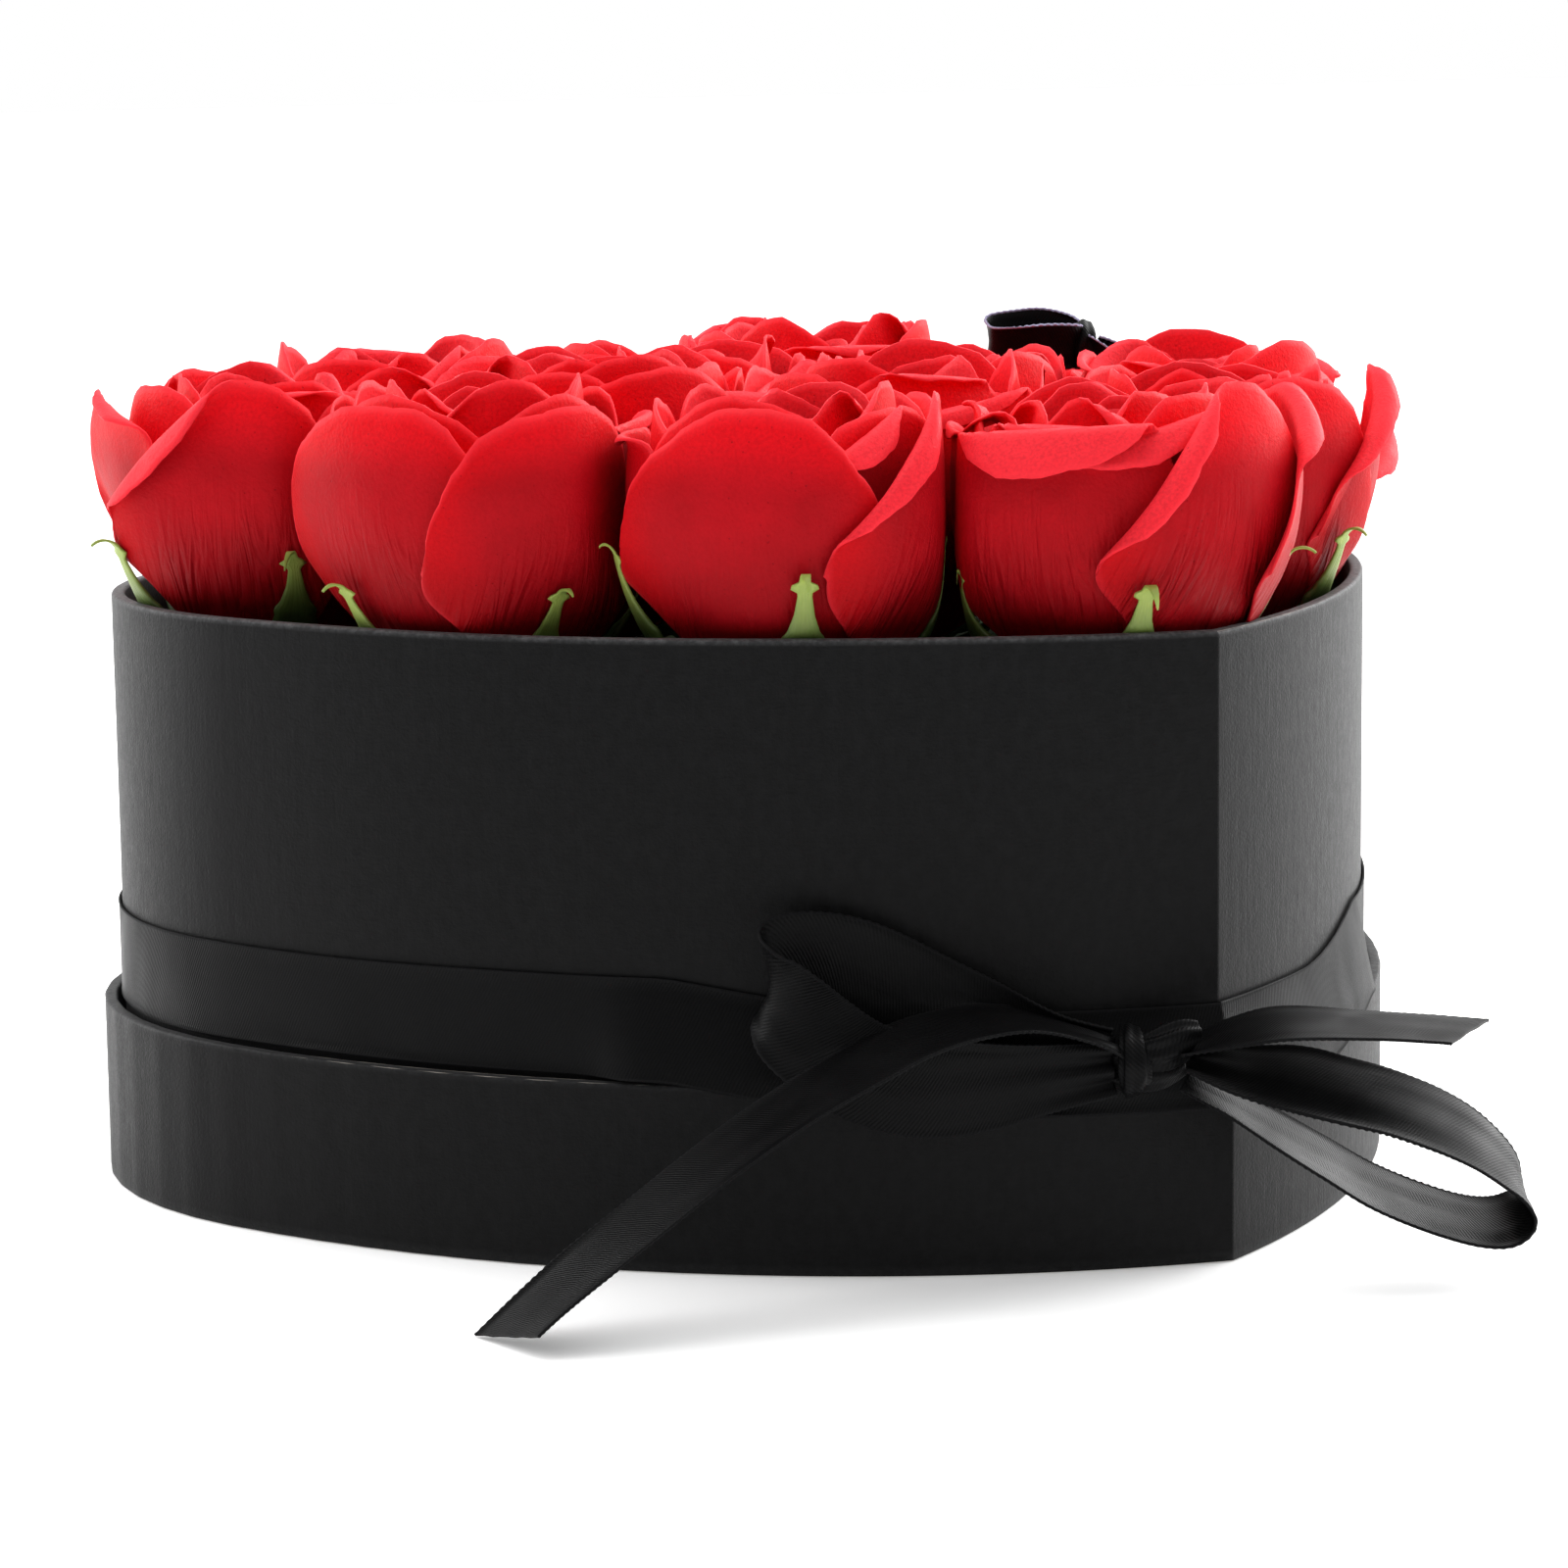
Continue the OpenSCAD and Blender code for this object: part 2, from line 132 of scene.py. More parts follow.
def waves(seed, count, low, high):
    """A smooth random function of one or two variables, as a sum of seeded sines."""
    rng = np.random.default_rng(seed)
    freq = rng.uniform(low, high, (count, 2)) * rng.choice([-1, 1], (count, 2))
    phase = rng.uniform(0, 2 * math.pi, count)

    def f(u, v=0.0):
        total = 0.0
        for (a, b), p in zip(freq, phase):
            total = total + np.sin(a * u + b * v + p)
        return total / count ** 0.5

    return f


BASE = heart(0)
BASE_U = run_length(np.vstack([BASE, BASE[:1]]))
GIRTH = BASE_U[-1]

# ---- Meshes ----


def add_object(name, data):
    obj = bpy.data.objects.new(name, data)
    bpy.context.scene.collection.objects.link(obj)
    return obj


class Builder:
    """Collects grids into one mesh with a UV map and point attributes."""

    def __init__(self):
        self.verts, self.faces, self.uvs, self.attrs, self.count = [], [], [], {}, 0

    def add(self, verts, faces, uv, attrs):
        self.verts.append(verts)
        self.faces.append(faces + self.count)
        self.uvs.append(uv)
        for name in set(self.attrs) | set(attrs):
            values = attrs.get(name, np.zeros(len(verts)))
            self.attrs.setdefault(name, [np.zeros(self.count)])
            self.attrs[name].append(values)
        self.count += len(verts)

    def shell(self, grid, thick, uv, attrs, loop=False):
        """A closed thin shell around a grid of points, thick metres thick at each of them."""
        n, m, _ = grid.shape
        du = np.roll(grid, -1, 0) - np.roll(grid, 1, 0) if loop else np.gradient(grid, axis=0)
        half = unit(np.cross(du, np.gradient(grid, axis=1))) * thick[..., None] / 2
        verts = np.concatenate([grid + half, grid - half]).reshape(-1, 3)
        k = np.arange(n * m).reshape(n, m)
        a = k if loop else k[:-1]
        b = np.roll(k, -1, 0) if loop else k[1:]
        top = np.stack([a[:, :-1], b[:, :-1], b[:, 1:], a[:, 1:]], -1).reshape(-1, 4)
        under = top[:, ::-1] + n * m
        rims = [(a[:, 0], b[:, 0]), (b[:, -1], a[:, -1])]
        if not loop:
            rims += [(k[0, 1:], k[0, :-1]), (k[-1, :-1], k[-1, 1:])]
        sides = [np.stack([p, p + n * m, q + n * m, q], -1) for p, q in rims]
        faces = np.concatenate([top, under] + sides)
        doubled = {name: np.tile(np.ravel(values), 2) for name, values in attrs.items()}
        # The second face is marked; soap petals paint a lit pink on it.
        doubled["inside"] = np.repeat([0.0, 1.0], n * m)
        self.add(verts, faces, np.tile(uv.reshape(-1, 2), (2, 1)), doubled)

    def tube(self, grid, uv, **attrs):
        """A closed solid from rings: grid[i] is ring i, seen counter-clockwise from its end."""
        n, m, _ = grid.shape
        k = np.arange(n * m).reshape(n, m)
        nxt = np.roll(k, -1, 1)
        faces = np.stack([k[:-1], nxt[:-1], nxt[1:], k[1:]], -1).reshape(-1, 4)
        ends = np.array([grid[0].mean(0), grid[-1].mean(0)])
        verts = np.concatenate([grid.reshape(-1, 3), ends])
        flat = uv.reshape(-1, 2)
        flat = np.concatenate([flat, flat[:1], flat[-1:]])
        start, end = np.full(m, n * m), np.full(m, n * m + 1)
        first = np.stack([k[0], start, nxt[0], nxt[0]], -1)
        last = np.stack([k[-1], nxt[-1], end, end], -1)
        self.add(verts, np.concatenate([faces, first, last]), flat,
                 {name: np.full(len(verts), value) for name, value in attrs.items()})

    def build(self, name, material, merge=0.0):
        verts = np.concatenate(self.verts)
        faces = [tuple(dict.fromkeys(f)) for f in np.concatenate(self.faces).tolist()]
        mesh = bpy.data.meshes.new(name)
        mesh.from_pydata(verts.tolist(), [], faces)
        uvs = np.concatenate(self.uvs)
        layer = mesh.uv_layers.new(name="flat")
        index = np.empty(len(mesh.loops), np.int32)
        mesh.loops.foreach_get("vertex_index", index)
        layer.data.foreach_set("uv", uvs[index].astype(np.float32).ravel())
        for attr, values in self.attrs.items():
            a = mesh.attributes.new(attr, "FLOAT", "POINT")
            a.data.foreach_set("value", np.concatenate(values).astype(np.float32))
        mesh.polygons.foreach_set("use_smooth", [True] * len(mesh.polygons))
        if merge:
            bm = bmesh.new()
            bm.from_mesh(mesh)
            bmesh.ops.remove_doubles(bm, verts=bm.verts, dist=merge)
            bmesh.ops.dissolve_degenerate(bm, edges=bm.edges, dist=merge)
            bm.to_mesh(mesh)
            bm.free()
        mesh.update()
        mesh.materials.append(material)
        return add_object(name, mesh)


def piece(obj, body, slot, *nodes):
    """Parents a finished piece to its body and hides the CAD nodes it stands for; slot is not
    used.
    """
    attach(obj, body)
    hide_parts(*nodes)


# ---- Materials ----


class Shader:
    """A node material around one Principled shader."""

    def __init__(self, name, **values):
        self.mat = bpy.data.materials.new(name)
        self.mat.use_nodes = True
        self.tree = self.mat.node_tree
        self.bsdf = self.tree.nodes["Principled BSDF"]
        for key, value in values.items():
            self.bsdf.inputs[key.replace("_", " ")].default_value = value

    def feed(self, socket, value):
        """Links a node's output to a socket, or sets the socket to a plain value."""
        if isinstance(value, bpy.types.NodeSocket):
            self.tree.links.new(value, socket)
        else:
            socket.default_value = value

    def node(self, kind, settings=None, **inputs):
        """A node with its settings and inputs; i0 and i1 are inputs by number."""
        n = self.tree.nodes.new("ShaderNode" + kind)
        for key, value in (settings or {}).items():
            setattr(n, key, value)
        for key, value in inputs.items():
            self.feed(n.inputs[int(key[1]) if key in ("i0", "i1") else key.replace("_", " ")],
                      value)
        return n

    def uv(self, scale):
        """The flat map in metres, multiplied by scale (across, along)."""
        coord = self.node("UVMap", {"uv_map": "flat"})
        return self.node("Mapping", Vector=coord.outputs[0],
                         Scale=(scale[0], scale[1], 1)).outputs[0]

    def place(self):
        """Object coordinates in metres."""
        return self.node("TexCoord").outputs["Object"]

    def noise(self, vector, scale, detail=2.0, rough=0.5, distort=0.0):
        return self.node("TexNoise", Vector=vector, Scale=scale, Detail=detail,
                         Roughness=rough, Distortion=distort).outputs[0]

    def dots(self, vector, scale):
        """Distance to the nearest of scattered points, for specks and pits."""
        return self.node("TexVoronoi", Vector=vector, Scale=scale).outputs["Distance"]

    def attr(self, name):
        return self.node("Attribute", {"attribute_name": name}).outputs["Fac"]

    def plus(self, a, b):
        return self.node("Math", {"operation": "ADD"}, i0=a, i1=b).outputs[0]

    def times(self, a, b):
        return self.node("Math", {"operation": "MULTIPLY"}, i0=a, i1=b).outputs[0]

    def ramp(self, value, low, high, to_low=0.0, to_high=1.0):
        return self.node("MapRange", Value=value, From_Min=low, From_Max=high,
                         To_Min=to_low, To_Max=to_high).outputs[0]

    def mix(self, fac, a, b):
        """Colour a where fac is 0 and b where it is 1."""
        n = self.node("Mix", {"data_type": "RGBA"})
        for number, value in ((0, fac), (6, a), (7, b)):
            self.feed(n.inputs[number], value)
        return n.outputs[2]

    def bump(self, height, distance, strength=1.0, below=None):
        n = self.node("Bump", Height=height, Distance=distance, Strength=strength)
        if below is not None:
            self.tree.links.new(below, n.inputs["Normal"])
        return n.outputs[0]

    def set(self, **links):
        for key, value in links.items():
            self.tree.links.new(value, self.bsdf.inputs[key.replace("_", " ")])
        return self.mat


def grey(level, blue=1.04):
    """A dark neutral colour with a little more blue in it."""
    return level, level, level * blue, 1


def linen_paper(name, shade, seed, rim_rub_painted_glint_grey=0.085):
    """Black covering paper, embossed with a fine linen weave, lighter on its rims, partly rubbed
    paper and partly a painted highlight.
    """
    s = Shader(name, Roughness=0.5, Specular_IOR_Level=0.09, Sheen_Weight=0.05,
               Sheen_Roughness=0.35)
    warp = s.noise(s.uv((1500, 330)), 1, 2, 0.6)
    weft = s.noise(s.uv((300, 1500)), 1, 2, 0.6)
    pulp = s.noise(s.uv((1900, 1900)), 1, 2, 0.6)
    slub = s.noise(s.uv((420, 26)), 1, 3, 0.6)
    blotch = s.noise(s.uv((520, 300)), 1, 4, 0.65)
    cloud = s.noise(s.place(), 24 + seed, 3)
    weave = s.plus(s.times(warp, 0.22), s.times(weft, 0.28))
    weave = s.plus(weave, s.times(pulp, 0.5))
    tone = s.mix(s.ramp(weave, 0.36, 0.64), grey(shade * 0.62, 64 / 62),
                 grey(shade * 1.35, 142 / 135))
    tone = s.mix(s.ramp(slub, 0.55, 0.78, 0, 0.35), tone, grey(shade * 2.0, 21 / 20))
    tone = s.mix(s.ramp(blotch, 0.42, 0.66, 0, 0.6), tone, grey(shade * 2.2, 23 / 22))
    fray = s.ramp(s.noise(s.uv((900, 900)), 1, 3, 0.7), 0.42, 0.7)
    # Lighter rims: partly rubbed paper, partly a painted highlight along the rim.
    worn = s.times(s.attr("worn"), s.ramp(fray, 0, 1, 0.35, 1))
    tone = s.mix(worn, tone, grey(rim_rub_painted_glint_grey, 1.03))
    dust = s.ramp(s.dots(s.uv((95, 95)), 1), 0.0, 0.028, 0.55, 0)
    dust = s.times(dust, s.ramp(cloud, 0.5, 0.62))
    tone = s.mix(dust, tone, (0.5, 0.48, 0.46, 1))
    rough = s.ramp(s.plus(weave, s.times(blotch, 0.8)), 0.5, 1.3, 0.4, 0.64)
    normal = s.bump(weave, 0.00016, 0.9)
    normal = s.bump(blotch, 0.00012, 0.5, normal)
    normal = s.bump(slub, 0.00015, 0.4, normal)
    return s.set(Base_Color=tone, Roughness=rough, Normal=normal)


def satin(name, shade):
    """Black satin ribbon: fine slanting twill, soft sheen along the run, stitched edges."""
    s = Shader(name, Roughness=0.42, Specular_IOR_Level=0.06, Anisotropic=0.4)
    turned = s.node("Mapping", Vector=s.uv((1, 1)),
                    Rotation=(0, 0, math.radians(62))).outputs[0]
    twill = s.node("TexWave", Vector=turned, Scale=640, Distortion=1.2,
                   Detail=2.0, Detail_Scale=2.0).outputs["Fac"]
    yarn = s.noise(s.uv((3200, 220)), 1, 2, 0.6)
    soft = s.noise(s.uv((60, 90)), 1, 2)
    edge = s.attr("edge")
    tone = s.mix(s.ramp(s.plus(twill, yarn), 0.4, 1.5), grey(shade * 0.7, 74 / 70),
                 grey(shade * 1.5, 16 / 15))
    tone = s.mix(s.times(edge, 0.6), tone, grey(shade * 2.8, 30 / 28))
    # Painted highlight: a light lavender line along the small bow's upper edge.
    tone = s.mix(s.attr("pale"), tone, (0.27, 0.25, 0.36, 1))
    rough = s.ramp(s.plus(soft, s.times(edge, 0.6)), 0.3, 1.2, 0.34, 0.62)
    weave = s.plus(s.times(twill, 0.6), s.times(yarn, 0.6))
    normal = s.bump(weave, 0.00008, 0.7)
    return s.set(Base_Color=tone, Roughness=rough, Normal=normal)


def soap_petal(name, tint):
    """Red soap petal, matt and waxy, with painted light and shade in its colour: painted shade
    low down, painted top light, a painted see-through red at its rim, painted lit pink on its
    inner face and a painted highlight on its cut edges.
    """
    s = Shader(name, Roughness=0.55, Specular_IOR_Level=0.07, Subsurface_Weight=0.06,
               Subsurface_Scale=0.0015, Subsurface_Radius=(1.0, 0.08, 0.08))
    place = s.place()
    mottle = s.noise(place, 75, 4, 0.6)
    tone = s.mix(s.ramp(mottle, 0.32, 0.68), (0.34 * tint, 0.0018, 0.0055, 1),
                 (0.45 * tint, 0.0036, 0.009, 1))
    # Painted top light: the base colour turns lighter towards the petal tops.
    tone = s.mix(s.attr("high"), tone, (0.95 * tint, 0.007, 0.017, 1))
    # Painted light shining through the thin rim: a clearer red towards the edges.
    tone = s.mix(s.times(s.attr("rimward"), 0.6), tone,
                 (0.66 * tint, 0.0012, 0.004, 1))
    # Painted top light and sheen: a lit pink on each petal's second face.
    tone = s.mix(s.times(s.attr("inside"), 0.8), tone,
                 (0.90 * tint, 0.030, 0.046, 1))
    specks = s.times(s.ramp(s.dots(place, 620), 0.05, 0.13, 1, 0),
                    s.ramp(s.noise(place, 60, 2), 0.42, 0.6))
    tone = s.mix(s.times(specks, 0.6), tone, (0.15, 0.0, 0.003, 1))
    grain = s.noise(place, 1900, 3, 0.6)
    tone = s.mix(s.ramp(grain, 0.4, 0.66, 0, 0.26), tone, (0.26, 0.001, 0.004, 1))
    # Painted highlight on the thin cut edges.
    tone = s.mix(s.times(s.attr("lip"), 0.7), tone, (0.90, 0.03, 0.045, 1))
    # Painted shade: darker low down in the cup.
    tone = s.mix(s.times(s.attr("deep"), 0.75), tone, (0.13, 0.0004, 0.002, 1))
    swirl = s.noise(s.uv((70, 40)), 1, 2)
    wrinkle = s.noise(s.uv((430, 48)), 1, 2.5, 0.5, 1.6)
    wrinkle = s.times(wrinkle, s.attr("vein"))
    wrinkle = s.times(wrinkle, s.ramp(swirl, 0.36, 0.6, 0.25, 1))
    soft = s.noise(place, 160, 3, 0.5)
    normal = s.bump(wrinkle, 0.002, 0.9)
    normal = s.bump(soft, 0.0008, 0.4, normal)
    normal = s.bump(grain, 0.0002, 0.6, normal)
    normal = s.bump(s.ramp(specks, 0, 1, 1, 0), 0.0002, 0.4, normal)
    rough = s.ramp(mottle, 0.3, 0.7, 0.5, 0.62)
    return s.set(Base_Color=tone, Roughness=rough, Normal=normal)


def leaf(name):
    """Moulded green calyx: dark near the hip, yellow-green towards the tips."""
    s = Shader(name, Roughness=0.48, Specular_IOR_Level=0.4, Subsurface_Weight=0.08,
               Subsurface_Scale=0.0015, Subsurface_Radius=(0.5, 0.9, 0.2))
    mottle = s.noise(s.place(), 260, 3, 0.6)
    tone = s.mix(s.attr("tip"), (0.024, 0.044, 0.011, 1), (0.31, 0.39, 0.075, 1))
    tone = s.mix(s.ramp(mottle, 0.35, 0.75, 0, 0.45), tone, (0.10, 0.17, 0.03, 1))
    rib = s.noise(s.uv((1500, 60)), 1, 2)
    return s.set(Base_Color=tone, Normal=s.bump(rib, 0.00025, 0.6))


def floral_foam(name):
    """Dark green open-celled foam."""
    s = Shader(name, Roughness=0.9, Specular_IOR_Level=0.2)
    cells = s.dots(s.place(), 900)
    patch = s.noise(s.place(), 60, 4)
    tone = s.mix(s.ramp(patch, 0.3, 0.7), (0.022, 0.05, 0.018, 1), (0.045, 0.09, 0.03, 1))
    tone = s.mix(s.ramp(cells, 0.0, 0.5, 0.6, 0), tone, (0.008, 0.018, 0.007, 1))
    return s.set(Base_Color=tone, Normal=s.bump(cells, 0.0005, 0.9))


def grey_card(name):
    """Grey recycled board with flecks."""
    s = Shader(name, Roughness=0.85, Specular_IOR_Level=0.2)
    fibre = s.noise(s.place(), 700, 4, 0.7)
    tone = s.mix(s.ramp(fibre, 0.3, 0.7), (0.24, 0.22, 0.19, 1), (0.38, 0.35, 0.31, 1))
    return s.set(Base_Color=tone, Normal=s.bump(fibre, 0.0001, 0.6))


def plain_floor(name):
    s = Shader(name, Roughness=0.6, Specular_IOR_Level=0.15, Emission_Color=(1, 1, 1, 1),
               Emission_Strength=0.22)
    tone = s.mix(s.noise(s.place(), 3, 2), (0.95, 0.95, 0.95, 1), (0.97, 0.97, 0.97, 1))
    return s.set(Base_Color=tone)


# The last number is the grey of the lightened rims, rubbed paper and painted highlight.
BOX_PAPER = linen_paper("box_linen_paper", 0.0032, 0, 0.12)
LID_PAPER = linen_paper("lid_linen_paper", 0.0032, 3, 0.03)
LINING = linen_paper("lining_paper_matt", 0.008, 5)
SATIN = satin("black_satin", 0.0025)
PETAL = soap_petal("soap_petal", 1.0)
# A darker copy for the inner petals and bud: painted shade for their place sunk among the outer
# petals.
PETAL_SHADED_COPY = soap_petal("soap_petal_bud", 0.93)
LEAF = leaf("calyx_green")
FOAM = floral_foam("floral_foam")
CARD = grey_card("greyboard")


def repaint(node, material):
    """Gives a carried-over CAD node a procedural material."""
    mesh = frame["nodes"][node].data
    mesh.materials.clear()
    mesh.materials.append(material)


for node in ("lid_panel", "lid_wall", "box_floor", "box_wall"):
    repaint(node, CARD)
repaint("foam_block", FOAM)
repaint("top_bow_pick", LEAF)


# ---- Covering papers ----

# How far the paper waves at its rim and on its wall, and the lid's faint facets
RIM_SWAY = 0.09 * MM
RIM_LIFT = 0.14 * MM
WALL_SWAY = 0.03 * MM
FACET = 0.11 * MM
FACET_STEP = 9 * MM
PAPER = 0.2 * MM


def cover(name, profile, material, wobble, body, slot, node, facets=0.0):
    """Paper cover lofted round the heart. profile is a closed loop of (offset, height, rim
    lightening from rubbed paper and painted highlight).
    """
    profile = np.array(profile)
    u = BASE_U[:-1]
    slow = waves(wobble, 5, 14, 60)
    quick = waves(wobble + 1, 6, 60, 240)
    away_from_point = np.sin(u * math.pi / GIRTH) ** 2
    crease = 1 - ease(np.abs(((u / FACET_STEP) % 1) - 0.5) * 2 / 0.8)
    peak = profile[:, 1].max()
    rings = []
    for d, z, _ in profile:
        ring = heart(d)
        grow = unit(heart(d + 0.5 * MM) - ring)
        top = ease((z - 0.55 * peak) / (0.45 * peak))
        shift = RIM_SWAY * np.tanh(slow(u, 0)) * top + WALL_SWAY * np.tanh(quick(u, z * 40))
        round_part = ease((np.abs(ring[:, 0]) - 60 * MM) / (30 * MM))
        shift = shift * away_from_point + facets * crease * round_part
        lift = RIM_LIFT * np.tanh(slow(u + 3, 2)) * top
        rings.append(np.column_stack([ring + grow * shift[:, None], z + lift]))
    grid = np.stack(rings, 1)
    n, m, _ = grid.shape
    uv = spread(u, run_length(profile[:, :2]))[..., ::-1]
    here = np.arange(n * m).reshape(n, m)
    ahead = np.roll(here, -1, 0)
    faces = [here, ahead, np.roll(ahead, -1, 1), np.roll(here, -1, 1)]
    build = Builder()
    build.add(grid.reshape(-1, 3), np.stack(faces, -1).reshape(-1, 4), uv.reshape(-1, 2),
              {"worn": np.tile(profile[:, 2], n)})
    piece(build.build(name, material, merge=0.004 * MM), body, slot, node)


def turned_profile(outer, inner, low, top, turn_in):
    """Section of a covering paper: up outside, over the rim with rounded edges, down inside."""
    round_r = 0.55 * MM
    # The third value lightens the paper: on the lid's bottom edge, and over the rounded rim
    # where it is partly rubbed paper and partly a painted highlight.
    path = [(outer, low + (top - round_r - low) * i / 16, 0.0) for i in range(16)]
    if low == 0:
        path[0] = (outer, low, 0.5)
    path.append((outer, top - round_r - 0.5 * MM, 0.0))
    for i in range(5):
        a = math.pi / 2 * i / 4
        path.append((outer - round_r + round_r * math.cos(a),
                     top - round_r + round_r * math.sin(a), 0.35 + 0.65 * math.sin(a)))
    for i in range(5):
        a = math.pi / 2 * i / 4
        path.append((inner + round_r - round_r * math.sin(a),
                     top - round_r + round_r * math.cos(a), math.cos(a) * 0.9))
    return path + [(inner, top - turn_in, 0), (inner + PAPER, top - turn_in, 0),
                   (inner + PAPER, top - PAPER, 0), (outer - PAPER, top - PAPER, 0),
                   (outer - PAPER, low, 0)]


LINING_LOW = 4.3 * MM
LINING_TOP = 99.7 * MM
cover("box_paper_cover", turned_profile(0, -WALL - 0.1 * MM, BOX_BASE, BOX_TOP, 15 * MM),
      BOX_PAPER, 11, "box", "cover_paper", "box_wrap")
cover("lid_paper_cover", turned_profile(LID_OUT, LID_GAP, 0, LID_TOP, 18 * MM),
      LID_PAPER, 23, "tray", "cover_paper", "lid_wrap", facets=FACET)
cover("box_lining_sheet", [(-WALL + PAPER, LINING_LOW, 0), (-WALL + PAPER, LINING_TOP, 0),
                           (-WALL, LINING_TOP, 0), (-WALL, LINING_LOW, 0)],
      LINING, 31, "box", "lining_paper", "box_lining")


# ---- Ribbons ----

RIBBON_W = 16 * MM
TOP_RIBBON_W = 10 * MM
RIBBON_T = 0.24 * MM
# The stitched edge's picots, the cloth's waves and crown, and how far pleats run from a knot
PICOT = 1.15 * MM
SCALLOP = 0.10 * MM
RIPPLE = 0.12 * MM
CROWN = 0.2 * MM
PLEAT_REACH = 7 * MM
RIBBON_STEP = 0.28 * MM


def curve(points, steps):
    """Smooth curve through a list of vectors."""
    p = np.array(points, float)
    out = []
    for i in range(len(p) - 1):
        a, b, c, d = p[max(i - 1, 0)], p[i], p[i + 1], p[min(i + 2, len(p) - 1)]
        t = (np.arange(steps) / steps)[:, None]
        out.append((2 * b + (c - a) * t + (2 * a - 5 * b + 4 * c - d) * t ** 2
                    + (3 * b - a - 3 * c + d) * t ** 3) / 2)
    out.append(p[-1:])
    return np.concatenate(out)


def resampled(path):
    """Rows of a path at even distances along its first three columns."""
    s = run_length(path[:, :3])
    at = np.linspace(0, s[-1], max(int(s[-1] / RIBBON_STEP), 8) + 1)
    return at, np.stack([np.interp(at, s, column) for column in path.T], 1)


def ribbon_rows(count):
    """Positions across a ribbon from -1 to 1, closer together at its stitched edges."""
    return np.concatenate([[-1, -0.97], np.linspace(-0.93, 0.93, count), [0.97, 1]])


def woven(grid, along, rows, wide, loop=False):
    """A ribbon's solid from its grid, its edges thicker and, on the small bow, its upper one
    carrying a painted highlight.
    """
    flat = spread(along, rows * wide / 2)
    edge = (np.abs(flat[..., 0]) > 0.475 * wide).astype(float)
    attrs = {"edge": edge}
    # The small bow's upper edge carries a painted highlight.
    if wide == TOP_RIBBON_W:
        attrs["pale"] = edge * (flat[..., 0] > 0)
    return grid, RIBBON_T * (1 + 0.9 * edge), flat, attrs, loop


def ribbon_shell(build, route, wide, pleat_in=0.0, pleat_out=0.0, slant=0.0, rows=9, seed=1):
    """Adds a ribbon along a route in millimetres, and gives its length."""
    at, path = resampled(curve(route, 16) * MM)
    c, w = path[:, :3], path[:, 3:]
    run = unit(np.gradient(c, axis=0))
    size = np.linalg.norm(w, axis=1)
    w = unit(w - (w * run).sum(1, keepdims=True) * run)
    up = np.cross(run, w)
    v = ribbon_rows(rows)
    ripple = waves(seed, 4, 60, 160)
    total = at[-1]
    pleat = pleat_in * np.exp(-at / PLEAT_REACH) + pleat_out * np.exp((at - total) / PLEAT_REACH)
    scallop = SCALLOP * np.sin(at * 2 * math.pi / PICOT)
    grow = np.maximum(at / total * 2 - 1, 0) ** 4
    grid = np.empty((len(at), len(v), 3))
    for j, x in enumerate(v):
        side = size * x + np.sign(x) * scallop * (abs(x) > 0.99)
        high = pleat * np.cos(x * 7.5 + 0.6) + RIPPLE * ripple(at, x * 2.0) - CROWN * x * x
        grid[:, j] = (c + w * side[:, None] + up * high[:, None]
                      + run * (slant * x * grow)[:, None])
    build.shell(*woven(grid, at, v, wide))
    return total


def ribbon(name, route, held, **shape):
    """One of the bow's loops or tails, named as its CAD node with the satin added."""
    build = Builder()
    length = ribbon_shell(build, route, RIBBON_W, **shape)
    obj = build.build(name + "_satin", SATIN)
    piece(obj, "box", "satin_ribbon", name)


# Routes of the bow's parts in millimetres, as in the frame. A row is a point on the ribbon's
# middle line, then the vector from there to its edge.
TAIL_LEFT = [
    (-21, -99.5, 37, 1, 3.8, 1), (-28, -98.5, 40, 1.5, 5.2, 0.8),
    (-38, -95.5, 42.6, 1.9, 7.7, 0.6), (-47, -93, 42.3, 1.9, 7.7, 0.7),
    (-54.5, -91.4, 40.8, 1.8, 7.8, 0.8), (-61.5, -89.6, 37.8, 1.7, 7.8, 0.8),
    (-70, -87.4, 33.8, 1.6, 7.8, 0.7), (-78, -85.4, 29.4, 1.6, 7.8, 0.7),
    (-87, -83.1, 23.8, 1.6, 7.8, 0.6), (-96, -80.7, 17.6, 1.6, 7.8, 0.5),
    (-105, -78.4, 11.4, 1.6, 7.8, 0.5), (-112, -76.6, 6.1, 1.7, 7.8, 0.3),
    (-117.5, -75.2, 1.6, 1.7, 7.8, 0.2),
]
TAIL_RIGHT = [
    (-12, -104.5, 36.2, 2, 3, 0.6), (-6, -110.2, 39, 3.4, 5.2, 1),
    (0, -115.8, 40.6, 4.4, 6.5, 0.9), (10, -124, 40.3, 4.4, 6.6, 0.6),
    (17.5, -129, 39.6, 4.4, 6.6, 0.6), (22.5, -132.5, 39, 4.4, 6.6, 0.6),
]
